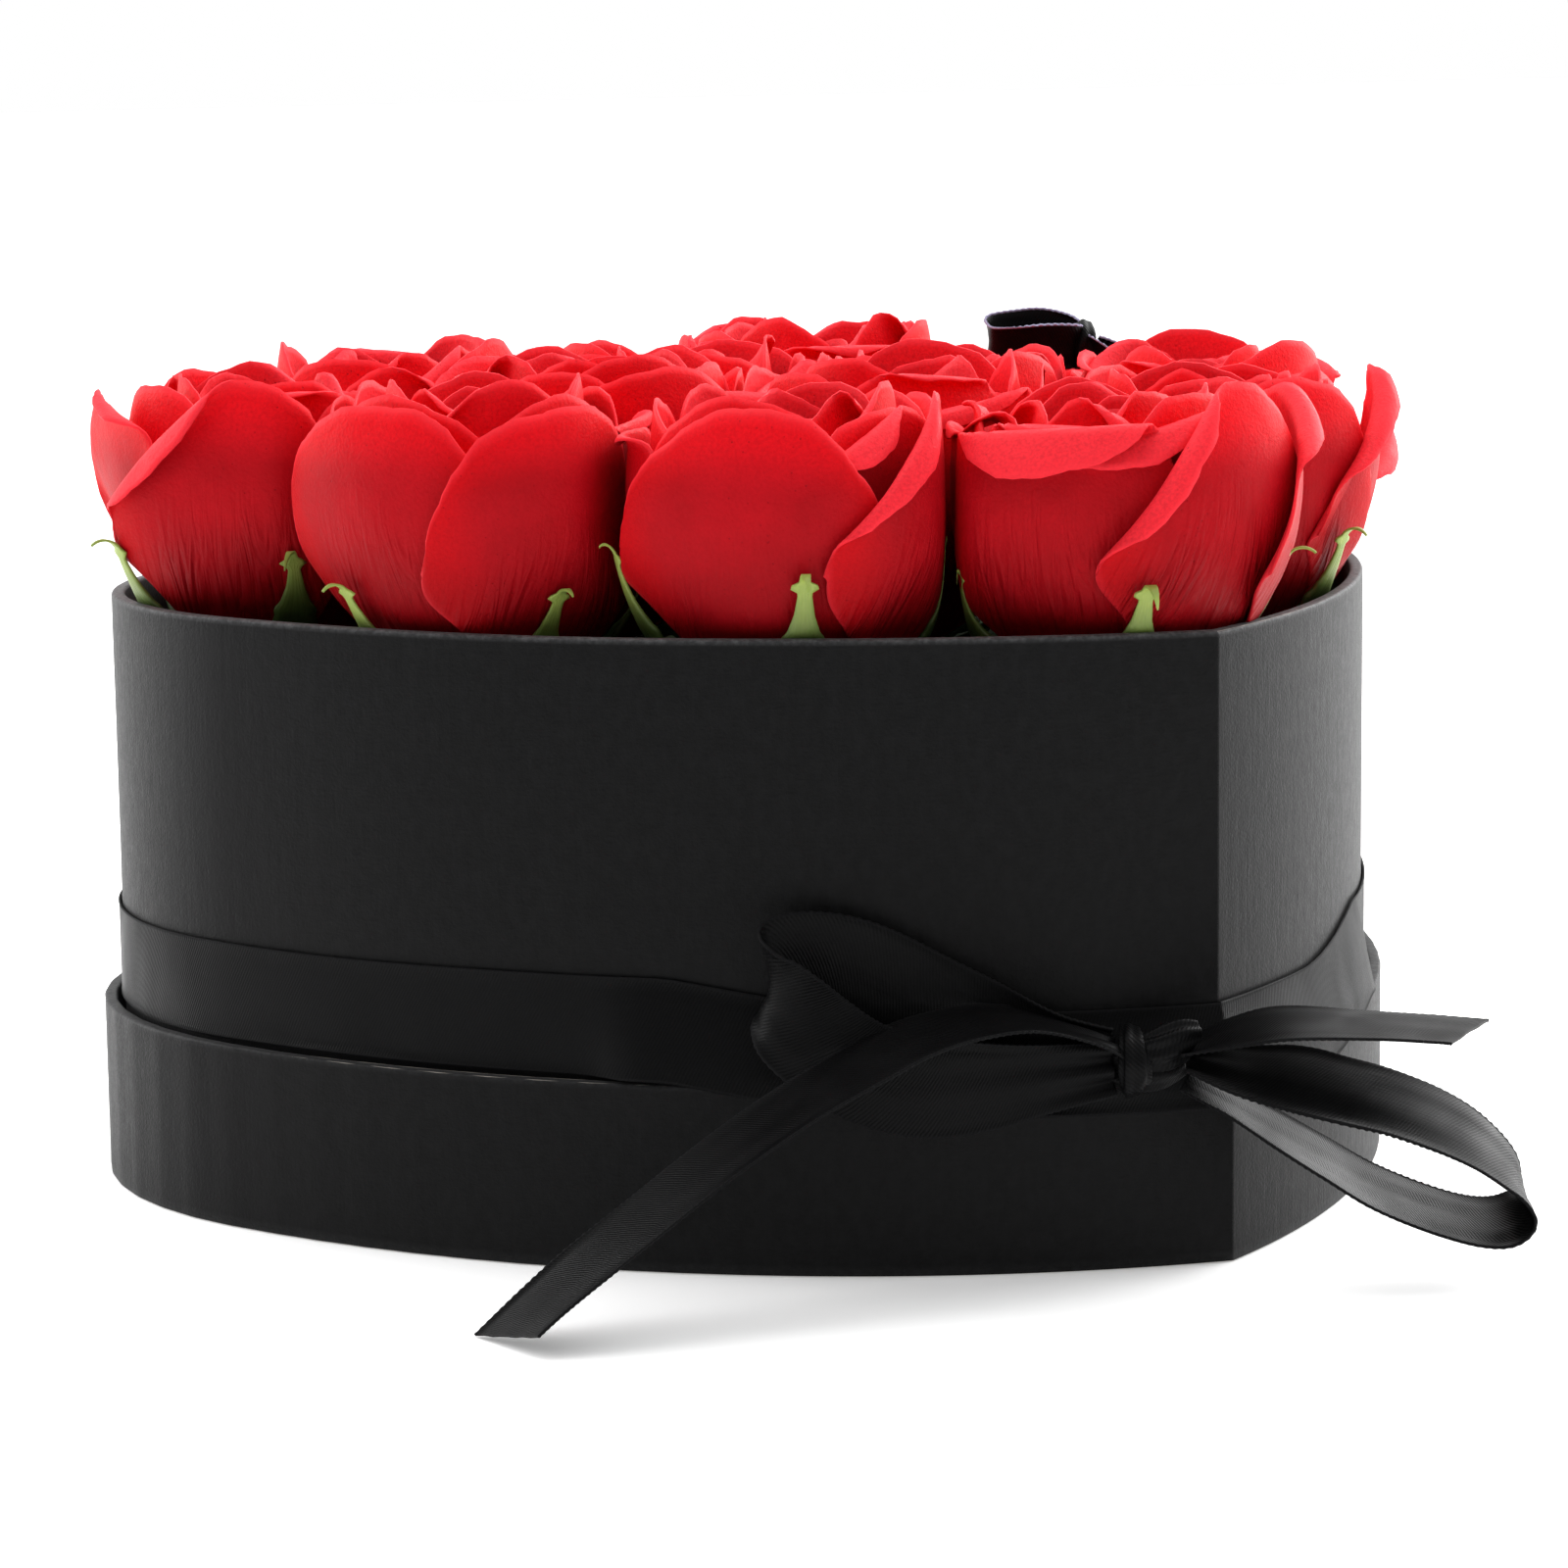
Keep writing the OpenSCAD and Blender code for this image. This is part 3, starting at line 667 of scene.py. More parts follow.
LOOP_RIGHT = [
    (-11, -105.5, 34.6, 2, 3, 1.6), (-5.5, -111.9, 33.1, 3, 4.8, 2.8),
    (0, -117.7, 32.1, 3.9, 5.7, 3.8), (5, -122.8, 30.5, 3.9, 5.7, 4),
    (11, -127.1, 28.5, 3.9, 5.7, 4), (17.7, -131.7, 25.3, 4, 5.8, 3.8),
    (23, -135.4, 21.5, 4.1, 5.9, 3.4), (27.2, -138.2, 16.6, 4.3, 6.2, 2.8),
    (28.2, -139, 12, 4.3, 6.3, 2.4), (26, -137.4, 9.3, 4.4, 6.3, 2.2),
    (21.8, -134.6, 9.2, 4.4, 6.3, 2.1), (15.7, -130.3, 11.4, 4.4, 6.3, 2.1),
    (8.7, -125.4, 15.1, 4.4, 6.3, 2.1), (3, -120.4, 19.6, 4.4, 6.3, 2),
    (-2.4, -115.3, 24, 4, 5.8, 1.8), (-8, -110.2, 28.5, 3, 4.6, 1.4),
    (-12, -105.6, 31.4, 2, 3, 1),
]
LOOP_LEFT = [
    (-21, -98.2, 35.4, 0, 0, 4), (-29, -93, 36.2, 0, 0, 6), (-36.6, -86.6, 39, 0, 0, 8),
    (-42.7, -81.6, 43, 0, 0, 8), (-48.8, -76.8, 47, 0, 0, 8), (-54.5, -73.4, 49.6, 0, 0, 8),
    (-60, -70.6, 50.4, 0, 0, 8), (-64.5, -69.8, 49.8, 0, 0, 8), (-66.6, -71.6, 47.6, 0, 0, 8),
    (-66, -75, 44, 0, 0, 8), (-63, -78.4, 39.7, 0, 0, 8), (-57.3, -82.8, 34.9, 0, 0, 8),
    (-49.4, -87.6, 32.2, 0, 0, 8), (-41, -92, 31.8, 0, 0, 7), (-32.7, -96.2, 32.6, 0, 0, 5.5),
    (-22.5, -100.8, 33.6, 0, 0, 4),
]

ribbon("bow_tail_left", TAIL_LEFT, "draped", pleat_in=0.7 * MM, slant=3 * MM, seed=3)
ribbon("bow_tail_right", TAIL_RIGHT, "draped", pleat_in=0.6 * MM, slant=4 * MM, seed=4)
ribbon("bow_loop_right", LOOP_RIGHT, "folded", pleat_in=0.6 * MM, pleat_out=0.6 * MM, seed=5)
ribbon("bow_loop_left", LOOP_LEFT, "folded", pleat_in=1 * MM, pleat_out=1 * MM, rows=11,
       seed=6)

BAND_GAP = 0.15 * MM
BAND_Z = 30.6 * MM
BAND_DROP = 5.6 * MM
BAND_LEAN = LID_OUT + 0.25 * MM
BAND_BEND_Z = LID_TOP + 0.3 * MM
BAND_HALF_T = 0.3 * MM
BAND_RIPPLE = 0.15 * MM
# The pull at which the band leans out fully, and from which it also drops
LEAN_SHARE = 0.12
DROP_SHARE = 0.22


def pull(xy, left, right):
    """1 at the point, fading to 0 at the far distance on each side."""
    s = np.hypot(xy[:, 0], xy[:, 1] + TIP_DROP - LOBE_Y)
    fade = lambda near, far: 1 - ease((s - near * MM) / ((far - near) * MM))
    return np.where(xy[:, 0] < 0, fade(*left), fade(*right))


def band():
    """The satin band round the box, pulled down over the lid's rim at the front."""
    k = pull(BASE, (45, 105), (30, 78))
    out = ease(k / LEAN_SHARE)
    low_z = BAND_Z - BAND_DROP * np.maximum(0, k - DROP_SHARE) / (1 - DROP_SHARE)
    top_z = low_z + RIBBON_W
    bend_z = np.maximum(BAND_BEND_Z, low_z + 0.5 * MM)
    v = ribbon_rows(9)
    u = BASE_U[:-1]
    near, far = heart(BAND_GAP + BAND_HALF_T), heart(BAND_LEAN + BAND_HALF_T)
    grid = np.empty((len(u), len(v), 3))
    ripple = waves(8, 5, 30, 120)
    for j, x in enumerate(v):
        z = low_z + RIBBON_W * (x + 1) / 2
        mix = (out * np.clip((top_z - z) / (top_z - bend_z), 0, 1))[:, None]
        grid[:, j, :2] = near * (1 - mix) + far * mix
        grid[:, j, 2] = z + BAND_RIPPLE * ripple(u, (x + 1) / 2)
    build = Builder()
    build.shell(*woven(grid, u, v, RIBBON_W, loop=True))
    obj = build.build("ribbon_band_satin", SATIN)
    piece(obj, "box", "satin_ribbon", "ribbon_band")


band()


# ---- Knots ----

KNOT = np.array([-17, -101.4, 34.6]) * MM
KNOT_TURN = math.radians(-24)
TOP_BOW = np.array([84, 49, 132.8]) * MM
TOP_TURN = math.radians(-35)


def turned(vectors, angle):
    """Vectors given along a bow, away from it and up, turned to the way the bow lies."""
    along, out, up = np.array(vectors, float).T
    c, s = math.cos(angle), math.sin(angle)
    return np.array([along * c + out * s, along * s - out * c, up]).T


def folded_roll(build, centre, angle, path, flat_by, folds, twist, seed):
    """A gathered roll of satin with lengthwise creases.

    A row of its path is along, out, up and radius, in millimetres from the bow's centre.
    """
    path = curve(path, 10) * MM
    c, r = centre + turned(path[:, :3], angle), path[:, 3:]
    run = unit(np.gradient(c, axis=0))
    side = unit(np.cross(run, turned((0, 1, 0), KNOT_TURN)))
    out = np.cross(side, run)
    ang = np.linspace(0, 2 * math.pi, 40, endpoint=False)
    s = np.linspace(0, 1, len(c))
    wobble = waves(seed, 4, 2, 6)
    a = r * (1 + 0.11 * np.cos(folds * ang + (twist * s * 3 + wobble(s * 2))[:, None]))
    grid = (c[:, None] + side[:, None] * (a * np.cos(ang))[..., None]
            + out[:, None] * (a * flat_by * np.sin(ang))[..., None])
    build.tube(grid, spread(s * 12 * MM, ang * 3 * MM), edge=0.0)


def bow_knot():
    """Two strands lying along the wall, a broad one rising to the right, and a narrow wrap."""
    build = Builder()
    strands = [
        ([(-5.6, -1.2, 0.8, 1.8), (-2.4, 1.0, 0.2, 2.5), (1.6, 1.8, 1.4, 3.3),
          (5.6, 1.2, 3.0, 3.1), (8.6, 0.6, 3.6, 2.2)], 0.62, 7, 1.6),
        ([(-5.4, -0.6, -2.2, 1.7), (-2, 1.0, -2.8, 2.1), (2, 1.2, -2.2, 2.3),
          (6, 0.2, -1.2, 1.6)], 0.8, 5, -1.0),
        ([(-1.6, -2.2, 4.4, 1.8), (-2.0, 1.8, 3.2, 2.3), (-2.4, 3.6, 0, 2.5),
          (-2.0, 2.6, -3.4, 2.3), (-1.2, -1.4, -5.2, 1.8)], 0.5, 6, 0.8),
    ]
    for seed, (path, flat_by, folds, twist) in enumerate(strands, 1):
        folded_roll(build, KNOT, KNOT_TURN, path, flat_by, folds, twist, seed)
    piece(build.build("bow_knot_satin", SATIN), "box", "satin_ribbon", "bow_knot")


bow_knot()

# The small bow's loops and knot: each row starts with along, towards the viewer and up
TOP_LOOP_LEFT = [
    (5.5, 0.5, 0.1, 0, 1.2, 3.4), (3, 3.2, 0.5, 0, 1.6, 4.2), (-2, 4.6, 0.5, 0, 1.6, 4.5),
    (-7, 4.4, 0, 0, 1.5, 4.6), (-11, 2.8, -0.2, 0, 1.2, 4.6), (-12.2, 0, 0.4, 0, 0.8, 4.7),
    (-11, -2.8, 1.6, 0, -0.4, 4.8), (-7, -4.6, 2.2, 0, 0, 4.8), (-2, -5, 2.5, 0, 0, 4.8),
    (3, -3.4, 2.2, 0, 0.4, 4.0), (5.5, -0.8, 1.6, 0, 0.6, 3.0),
]
TOP_LOOP_RIGHT = [
    (6, 0.6, 0.4, -0.4, 1.4, 2.8), (7.6, 2.8, -1.8, 0.8, 2.6, 3.3),
    (9.8, 3.4, -3.8, 1.2, 2.6, 3.5), (11.6, 1.6, -5.0, 1.2, 1.6, 4.1),
    (11.8, -0.8, -4.8, 1.2, 0.8, 4.5), (9.8, -2.4, -2.8, 1.0, 0.6, 4.3),
    (6.8, -0.8, -0.2, 0.4, 0.8, 3.0),
]
TOP_KNOT = [(5.8, -0.6, 4.4, 1.5), (5.8, 1.4, 2.4, 2.1), (5.8, 1.6, -1.4, 2.1),
            (5.8, -0.2, -4.4, 1.5)]


def top_bow():
    """The small bow pinned on a rose: a large loop stood on edge, a small one and its knot."""
    build = Builder()
    length = 0.0
    for seed, loop in ((8, TOP_LOOP_LEFT), (10, TOP_LOOP_RIGHT)):
        middle, half = np.split(np.array(loop), 2, 1)
        route = np.hstack([TOP_BOW / MM + turned(middle, TOP_TURN), turned(half, TOP_TURN)])
        length += ribbon_shell(build, route, TOP_RIBBON_W, seed=seed)
    loops = build.build("top_bow_loops_satin", SATIN)
    piece(loops, "top_bow", "satin_ribbon", "top_bow_loops")
    knot = Builder()
    folded_roll(knot, TOP_BOW, TOP_TURN, TOP_KNOT, 0.9, 5, 0.6, 7)
    piece(knot.build("top_bow_knot_satin", SATIN), "top_bow", "satin_ribbon", "top_bow_knot")


top_bow()


# ---- Roses ----

# Cup sections: distance from the rose's axis and height above the calyx, in millimetres
CUP_1 = [(4, 5), (9, 7.2), (14.5, 11), (19.5, 17), (23.8, 24.5), (26.3, 32), (26.8, 39),
         (25.6, 46), (23.8, 53)]
CUP_2 = [(3.5, 7), (8, 10), (12.5, 15), (17, 22), (20.4, 30), (21.6, 38), (21, 46), (19.6, 54)]
CUP_3 = [(3, 8), (7, 12), (10.5, 18), (14, 26), (16, 34), (16.4, 42), (15.4, 49), (14.4, 55)]
CUP_4 = [(2, 9), (5, 13), (8, 20), (10.2, 28), (11.2, 36), (11, 43), (10, 49), (9.2, 54)]


def section(points):
    """Arc length, radius, height and outward normal along a cup's section."""
    p = curve(points, 12) * MM
    t = unit(np.gradient(p, axis=0))
    return run_length(p), p[:, 0], p[:, 1], t[:, 1], -t[:, 0]


def folded(x, y, crease):
    """Folds a flat sheet outwards along a straight crease, on the left of its direction.

    A crease is its two ends, the radius of the bend and the angle it turns through.
    """
    x0, y0, x1, y1, radius, angle = crease
    length = math.hypot(x1 - x0, y1 - y0)
    nx, ny = (y0 - y1) / length, (x1 - x0) / length
    over = np.maximum((x - x0) * nx + (y - y0) * ny, 0)
    bent = np.minimum(over, radius * angle)
    rest = over - bent
    along = radius * np.sin(bent / radius) + rest * math.cos(angle)
    lift = radius * (1 - np.cos(bent / radius)) + rest * math.sin(angle)
    return x + nx * (along - over), y + ny * (along - over), lift


def petal_rows(count):
    """Positions across and along a petal, closer together at its rim."""
    across = np.linspace(-0.45, 0.45, count)
    across = np.sin(np.concatenate([[-0.5, -0.478], across, [0.478, 0.5]]) * math.pi)
    return across, np.concatenate([np.linspace(0, 0.95, count - 2), [0.975, 1]])


ROWS = {True: petal_rows(50), False: petal_rows(28)}
# The last entry sets how far down a petal's painted top light begins.
BARE = dict(fold=None, tuck=1.0, out=0.0, flare=0.0, round=0.44, flat=1.2, vein=1.0, fan=0.0,
            fine=False, painted_light_reach=0.0)
PETAL_T = 0.56 * MM
LIP_T = 0.36 * MM


def petal(build, cup, heading, half_width, length, shape, rng):
    """One petal on a cup, with its fold, tuck, lean and edge waves in millimetres."""
    f = {**BARE, **shape}
    sec_s, sec_r, sec_z, nrm_r, nrm_z = section(cup)
    across, along = ROWS[f["fine"]]
    t, s = np.meshgrid(along, across[::-1], indexing="ij")
    phase = rng.uniform(0, 2 * math.pi, 9)
    arc = np.arcsin(s)
    width = half_width * (0.2 + 0.8 * ease(t / 0.85))
    ragged = (0.45 * np.sin(4.1 * arc + phase[0]) + 0.24 * np.sin(9 * arc + phase[1])
              + 0.13 * np.sin(21 * arc + phase[2]) + 0.07 * np.sin(47 * arc + phase[8])) * t ** 6
    x = s * width + ragged * s + 0.35 * np.sin(t * 15 + phase[3]) * np.abs(s) ** 8 * np.sign(s)
    y = length * t - f["round"] * length * (1 - np.sqrt(1 - s * s)) * t ** 2.2
    y = y + ragged * np.sqrt(1 - s * s)
    fan = x * (1 + f["fan"] * (t - 0.5))
    uv = np.stack([fan, y + f["fan"] * x * 0.4], -1) * MM
    lift = 0.0
    if f["fold"]:
        x, y, lift = folded(x, y, f["fold"])
    tuck = f["tuck"] * x / half_width + f["out"]
    flare = f["flare"] * ease((t - 0.5) / 0.5) ** 2
    dent = (0.8 * np.sin(1.9 * s + phase[4]) * np.sin(2.7 * t + phase[5])
            + 0.4 * np.sin(4.3 * s + phase[6]) * np.sin(5.1 * t + phase[7])) * t
    y = np.maximum(y, 0) * MM
    r = np.interp(y, sec_s, sec_r)
    z = np.interp(y, sec_s, sec_z) + np.maximum(y - sec_s[-1], 0)
    off = (lift + tuck * ease(t * 2.5) + flare + dent) * MM
    out_r = off * np.interp(y, sec_s, nrm_r)
    z = z + off * np.interp(y, sec_s, nrm_z)
    bend = np.maximum(r * f["flat"], 6 * MM)
    turn = x * MM / bend
    side = (bend + out_r) * np.sin(turn)
    ahead = r - bend + (bend + out_r) * np.cos(turn)
    ch, sh = math.cos(heading), math.sin(heading)
    grid = np.stack([ahead * ch - side * sh, ahead * sh + side * ch, z], -1)
    # The lip mask thins the edges and also carries a painted highlight along them.
    lip = np.maximum((np.abs(s) > 0.9999), (t > 0.999)).astype(float)
    lip = np.maximum(lip, 0.3 * np.maximum((np.abs(s) > 0.995), (t > 0.97)))
    # Painted light through the thin rim, strongest at the sides and the top edge.
    rimward = np.maximum(ease((np.abs(s) - 0.6) / 0.4), ease((t - 0.78) / 0.22))
    vein = f["vein"] * (1 - ease((t - 0.35) / 0.45)) * ease(t * 8)
    # Painted shade, fading out upwards from low in the cup.
    deep = 1 - ease((z - 15 * MM) / (22 * MM))
    # Painted top light: a lighter colour from a height that drops as the reach setting grows.
    high = ease((z - (39 - 12 * f["painted_light_reach"]) * MM) / (17 * MM))
    build.shell(grid, PETAL_T + (LIP_T - PETAL_T) * lip, uv,
                {"lip": lip, "vein": vein, "deep": deep, "high": high, "rimward": rimward})


# Roses closer than NEAR press on each other, over a soft zone, down to a narrow gap
NEAR = 62
HALF_GAP = 0.45
SOFT = 5 * MM


def squeezed(points, index):
    """Presses a rose's points into its own room between its neighbours."""
    cx, cy, _ = ROSES[index]
    p = points.copy()
    for k, (nx, ny, _) in enumerate(ROSES):
        gap = math.hypot(nx - cx, ny - cy)
        if k == index or gap > NEAR:
            continue
        way = np.array([nx - cx, ny - cy]) / gap
        give = (gap / 2 - HALF_GAP) * MM - SOFT
        over = np.maximum(p[:, :2] @ way - give, 0)
        p[:, :2] += (SOFT * np.tanh(over / SOFT) - over)[:, None] * way
    return p


def place_rose(build, index):
    """Moves a rose's points from its own axis to its place, pressed between its neighbours."""
    x, y, lift = ROSES[index]
    base = np.array([x * MM, y * MM, FOAM_TOP + lift * MM])
    build.verts = [squeezed(v, index) + base for v in build.verts]


# Outer petals of the roses seen from the front: heading in degrees, 0 towards the viewer
# and 90 to their right, then half-width, length and shape. A fold runs from one point to
# another on the flat petal, across and along it, and has a radius and an angle.
TOP_FOLD = (-22, 49, 22, 50, 1.9, 2.6)
FRONT_PETALS = {
    0: [(-23, 22, 62.5, dict(fold=(-24, 49, 22, 53, 1.6, 2.8), tuck=-1.8, out=1.0,
         flat=1.3, vein=1.2)),
        (42, 22, 59, dict(fold=(-22.5, 30, -1, 57, 2.3, 4.4), tuck=0.8, out=2.6, flat=1.15,
         vein=2.2, fan=1.1)),
        (14, 20, 60, dict(fold=(-20, 46, 20, 57, 1.5, 2.7), out=-1.4)),
        (97, 21.5, 57, dict(fold=(-22, 41, 8, 58, 1.7, 2.75), flare=1, tuck=-0.3,
         out=3.8)),
        (-96, 22, 56, dict(fold=TOP_FOLD, out=-0.6, tuck=-1.6)),
        (172, 22, 57, dict(fold=TOP_FOLD, flare=1))],
    2: [(-13, 22.5, 57, dict(tuck=-0.4, out=1.2, flat=1.35, vein=0.7)),
        (61, 22, 57.5, dict(fold=(-23.5, 34, 1, 58, 1.2, 2.9), tuck=1.0, out=3.2, flat=1.2,
         vein=1.2)),
        (40, 20, 58.5, dict(fold=(-20, 43, 12, 60, 1.2, 2.8), tuck=0.6, out=-1.2)),
        (112, 21.5, 57, dict(fold=(-20, 40, 8, 58, 2.0, 2.5), tuck=1.0, out=0.3)),
        (-88, 22, 56, dict(fold=TOP_FOLD, out=-0.4, tuck=-1.8)),
        (176, 22, 57, dict(fold=TOP_FOLD))],
    4: [(-36, 21.5, 56.5, dict(tuck=-0.6, out=1.2, flat=1.3, round=0.42, vein=1.3)),
        (33, 22.5, 55.5, dict(tuck=-0.5, out=2.8, flat=1.3, vein=0.9)),
        (86, 22, 57, dict(fold=TOP_FOLD, tuck=1.0, out=0.4)),
        (-100, 22, 56, dict(out=-1.2, tuck=-1.4)),
        (160, 22, 57, dict(fold=TOP_FOLD))],
    6: [(-8, 22, 58, dict(fold=(-22, 35, 2, 58, 1.3, 2.6), tuck=0.6, out=2.2, flat=1.3,
         vein=1.6)),
        (-70, 21, 56, dict(fold=(-12, 55.5, 22, 46, 1.5, 2.1), flare=4, out=-1.6,
         tuck=-2.2)),
        (54, 21.5, 56, dict(out=0.4)),
        (-134, 22, 56, dict(out=-2.6)),
        (122, 22, 57, dict(fold=TOP_FOLD))],
    1: [(26, 20.5, 57, dict(tuck=0.6, out=1.6, flat=1.2, vein=1.2)),
        (84, 21, 56.5, dict(fold=(-22, 36, 4, 57, 1.8, 2.7), flare=2, out=2.2, tuck=1.0)),
        (-34, 21, 56, dict(fold=TOP_FOLD, tuck=0.8, out=0.2)),
        (150, 22, 57, dict(fold=TOP_FOLD, flare=2)),
        (-98, 22, 56, dict(fold=TOP_FOLD, out=-0.4))],
    3: [(32, 21, 54, dict(fold=(-20, 48, 20, 51, 1.6, 2.5), out=0.4)),
        (88, 21, 43.5, dict(fold=(-20, 32, 10, 43, 1.5, 2.75), flare=2, out=3.0,
         tuck=1.0, round=0.5)),
        (150, 21, 48, dict(fold=(-22, 43, 22, 44, 1.7, 2.6), flare=1.5)),
        (-36, 21, 56, dict(fold=TOP_FOLD, out=0.2)),
        (-104, 22, 56, dict(fold=TOP_FOLD))],
}


def loose_shape(rng, wide, length, turn, snug):
    """A random petal: plain, or folded over at its top or, unless it is snug, at one side."""
    style = rng.integers(0, 3 if snug else 5)
    low = rng.uniform(0.64, 0.76)
    reach = rng.uniform(-0.1, 0.4) * wide
    drop = (rng.uniform(0.89, 0.93) if snug else rng.uniform(0.80, 0.88)) * length
    tilt = rng.uniform(-4, 4)
    top_bend = (rng.uniform(1.2, 1.7), 2.95 if snug else rng.uniform(2.3, 2.9))
    side_bend = (rng.uniform(1.3, 1.7), 2.9)
    fold = [None, None, (-wide, drop - tilt, wide, drop + tilt, *top_bend),
            (-wide, low * length, reach, length, *side_bend),
            (-reach, length, wide, low * length, *side_bend)][style]
    return dict(fold=fold, tuck=turn * rng.uniform(0.8, 1.4), out=rng.uniform(-0.4, 0.5),
                round=rng.uniform(0.38, 0.46), flare=rng.uniform(0, 1.2 if snug else 2.0),
                flat=rng.uniform(1.1, 1.3))


def whorl(build, cup, count, half_width, length, start, rng, turn=1, painted_light_reach=1.0, snug=False):
    """A ring of similar petals, each folded and bent a little differently."""
    for i in range(count):
        heading = start + 2 * math.pi * i / count + math.radians(rng.normal(0, 5))
        wide = half_width * rng.uniform(0.94, 1.06)
        tall = length * rng.uniform(0.96, 1.02)
        # Loose petals take their painted top light from lower down.
        shape = {**loose_shape(rng, wide, tall, turn, snug), "painted_light_reach": painted_light_reach}
        petal(build, cup, heading, wide, tall, shape, rng)


def bud(build, start):
    """The rolled middle: one long petal wound inwards."""
    wound = 2.3 * 2 * math.pi
    turns = np.linspace(0, wound, 120)[::-1]
    hh, aa = np.meshgrid(np.linspace(0, 1, 22), turns, indexing="ij")
    spin = aa / wound
    top = 47.5 + 2.0 * np.sin(aa * 1.3 + start) - 3.5 * spin ** 2
    z = (9 + (top - 9) * hh) * MM
    r = (1.2 + 5.6 * (1 - spin)) * (0.45 + 0.62 * np.sin(np.clip(hh * 1.25 + 0.2, 0, 1.57)))
    r = r - 0.9 * ease((hh - 0.75) / 0.25) * (1 - spin) + 0.4 * ease((hh - 0.9) / 0.1)
    grid = np.stack([r * MM * np.cos(aa + start), r * MM * np.sin(aa + start), z], -1)
    lip = np.maximum((hh > 0.97), (aa < 0.05)).astype(float)
    uv = np.stack([aa * 4 * MM, hh * 45 * MM], -1)
    # The bud gets a painted highlight on its rim, painted shade all over and painted top light
    # on its upper half.
    build.shell(grid, (0.75 - 0.25 * lip) * MM, uv,
                {"lip": lip, "vein": np.full_like(aa, 0.2), "deep": np.full_like(aa, 0.3),
                 "high": 0.6 * ease((hh - 0.5) / 0.5)})


def sepal(build, heading, length, barb, bend_at, bend_r, sway):
    """One sepal: broad below, a thin neck, barbs, and a tip that curls out over the petal."""
    t = np.linspace(0, 1, 72)
    v = np.array([-1, -0.6, 0, 0.6, 1])
    sec_s, sec_r, sec_z, nrm_r, nrm_z = section(CUP_1)
    width = np.interp(t, [0, 0.12, 0.40, 0.55, 0.68, 0.78, 0.9, 1],
                      [2.2, 3.8, 4.8, 3.3, 1.6, 1.0, 0.7, 0.1])
    for at, size, half in ((0.57, 0.6, 0.03), (bend_at - 0.005, barb, 0.022)):
        width = width + size * np.maximum(0, 1 - np.abs(t - at) / half)
    width = width * MM
    bend_r = bend_r * MM
    y = t * length * MM
    on_cup = np.minimum(y, bend_at * length * MM)
    curl = (y - on_cup) / bend_r
    nr, nz = np.interp(on_cup, sec_s, nrm_r), np.interp(on_cup, sec_s, nrm_z)
    off = (1.6 + 2.6 * ease(t * 2)) * MM + bend_r * (1 - np.cos(curl))
    go = bend_r * np.sin(curl)
    r = np.interp(on_cup, sec_s, sec_r) + nr * off - nz * go
    z = np.interp(on_cup, sec_s, sec_z) + nz * off + nr * go
    grid = np.empty((len(t), len(v), 3))
    for j, a in enumerate(v):
        turn = heading + (width * a + sway * t ** 2 * MM) / np.maximum(r, 5 * MM)
        dished = r - 0.10 * width * a * a
        grid[:, j] = np.stack([dished * np.cos(turn), dished * np.sin(turn), z], -1)
    tip = np.repeat(ease((t - 0.5) / 0.36)[:, None], len(v), 1)
    build.shell(grid, (0.75 - 0.35 * tip) * MM, spread(y, v * 4 * MM), {"tip": tip})


# Where a visible calyx's first sepal points, in degrees from the viewer, and its added length
SEPAL_TURNS = {0: 6, 2: 6, 4: 25, 6: 17, 1: 52}
SEPAL_REACH = {2: 3.5, 0: 1.5, 4: -3, 6: 1}


def calyx(index, rng):
    """Hip, peg and five sepals."""
    build = Builder()
    hip = [(0.2, -30), (1.6, -29.6), (2, -28.6), (2, -0.6), (2.6, -0.1), (5, 0.5), (6.4, 1.6),
           (6.7, 2.6), (5.9, 3.8), (4.6, 4.6), (3.6, 6), (3.4, 9), (0.2, 9.2)]
    r, z = np.split(np.array(hip) * MM, 2, 1)
    ang = np.linspace(0, 2 * math.pi, 32, endpoint=False)
    grid = np.stack([r * np.cos(ang), r * np.sin(ang), z + 0 * ang], -1)
    build.tube(grid, spread(z[:, 0], ang * 4 * MM), tip=0.15)
    start = SEPAL_TURNS.get(index, rng.uniform(0, 72))
    for k in range(5):
        sepal(build, FRONT + math.radians(start + 72 * k),
              length=rng.uniform(34.5, 37.5) + SEPAL_REACH.get(index, 0),
              barb=rng.uniform(1.1, 1.8), bend_at=rng.uniform(0.78, 0.86),
              bend_r=rng.uniform(2.0, 3.4), sway=rng.uniform(-3.0, 3.0))
    place_rose(build, index)
    name = f"rose_{index + 1:02d}"
    piece(build.build(f"{name}_sepals", LEAF), name, "calyx_green", f"{name}_calyx")


# The rose under the small bow and the one in front of it stand lower, so that it shows
ROSE_SIZES = {5: 0.92, 9: 0.94}


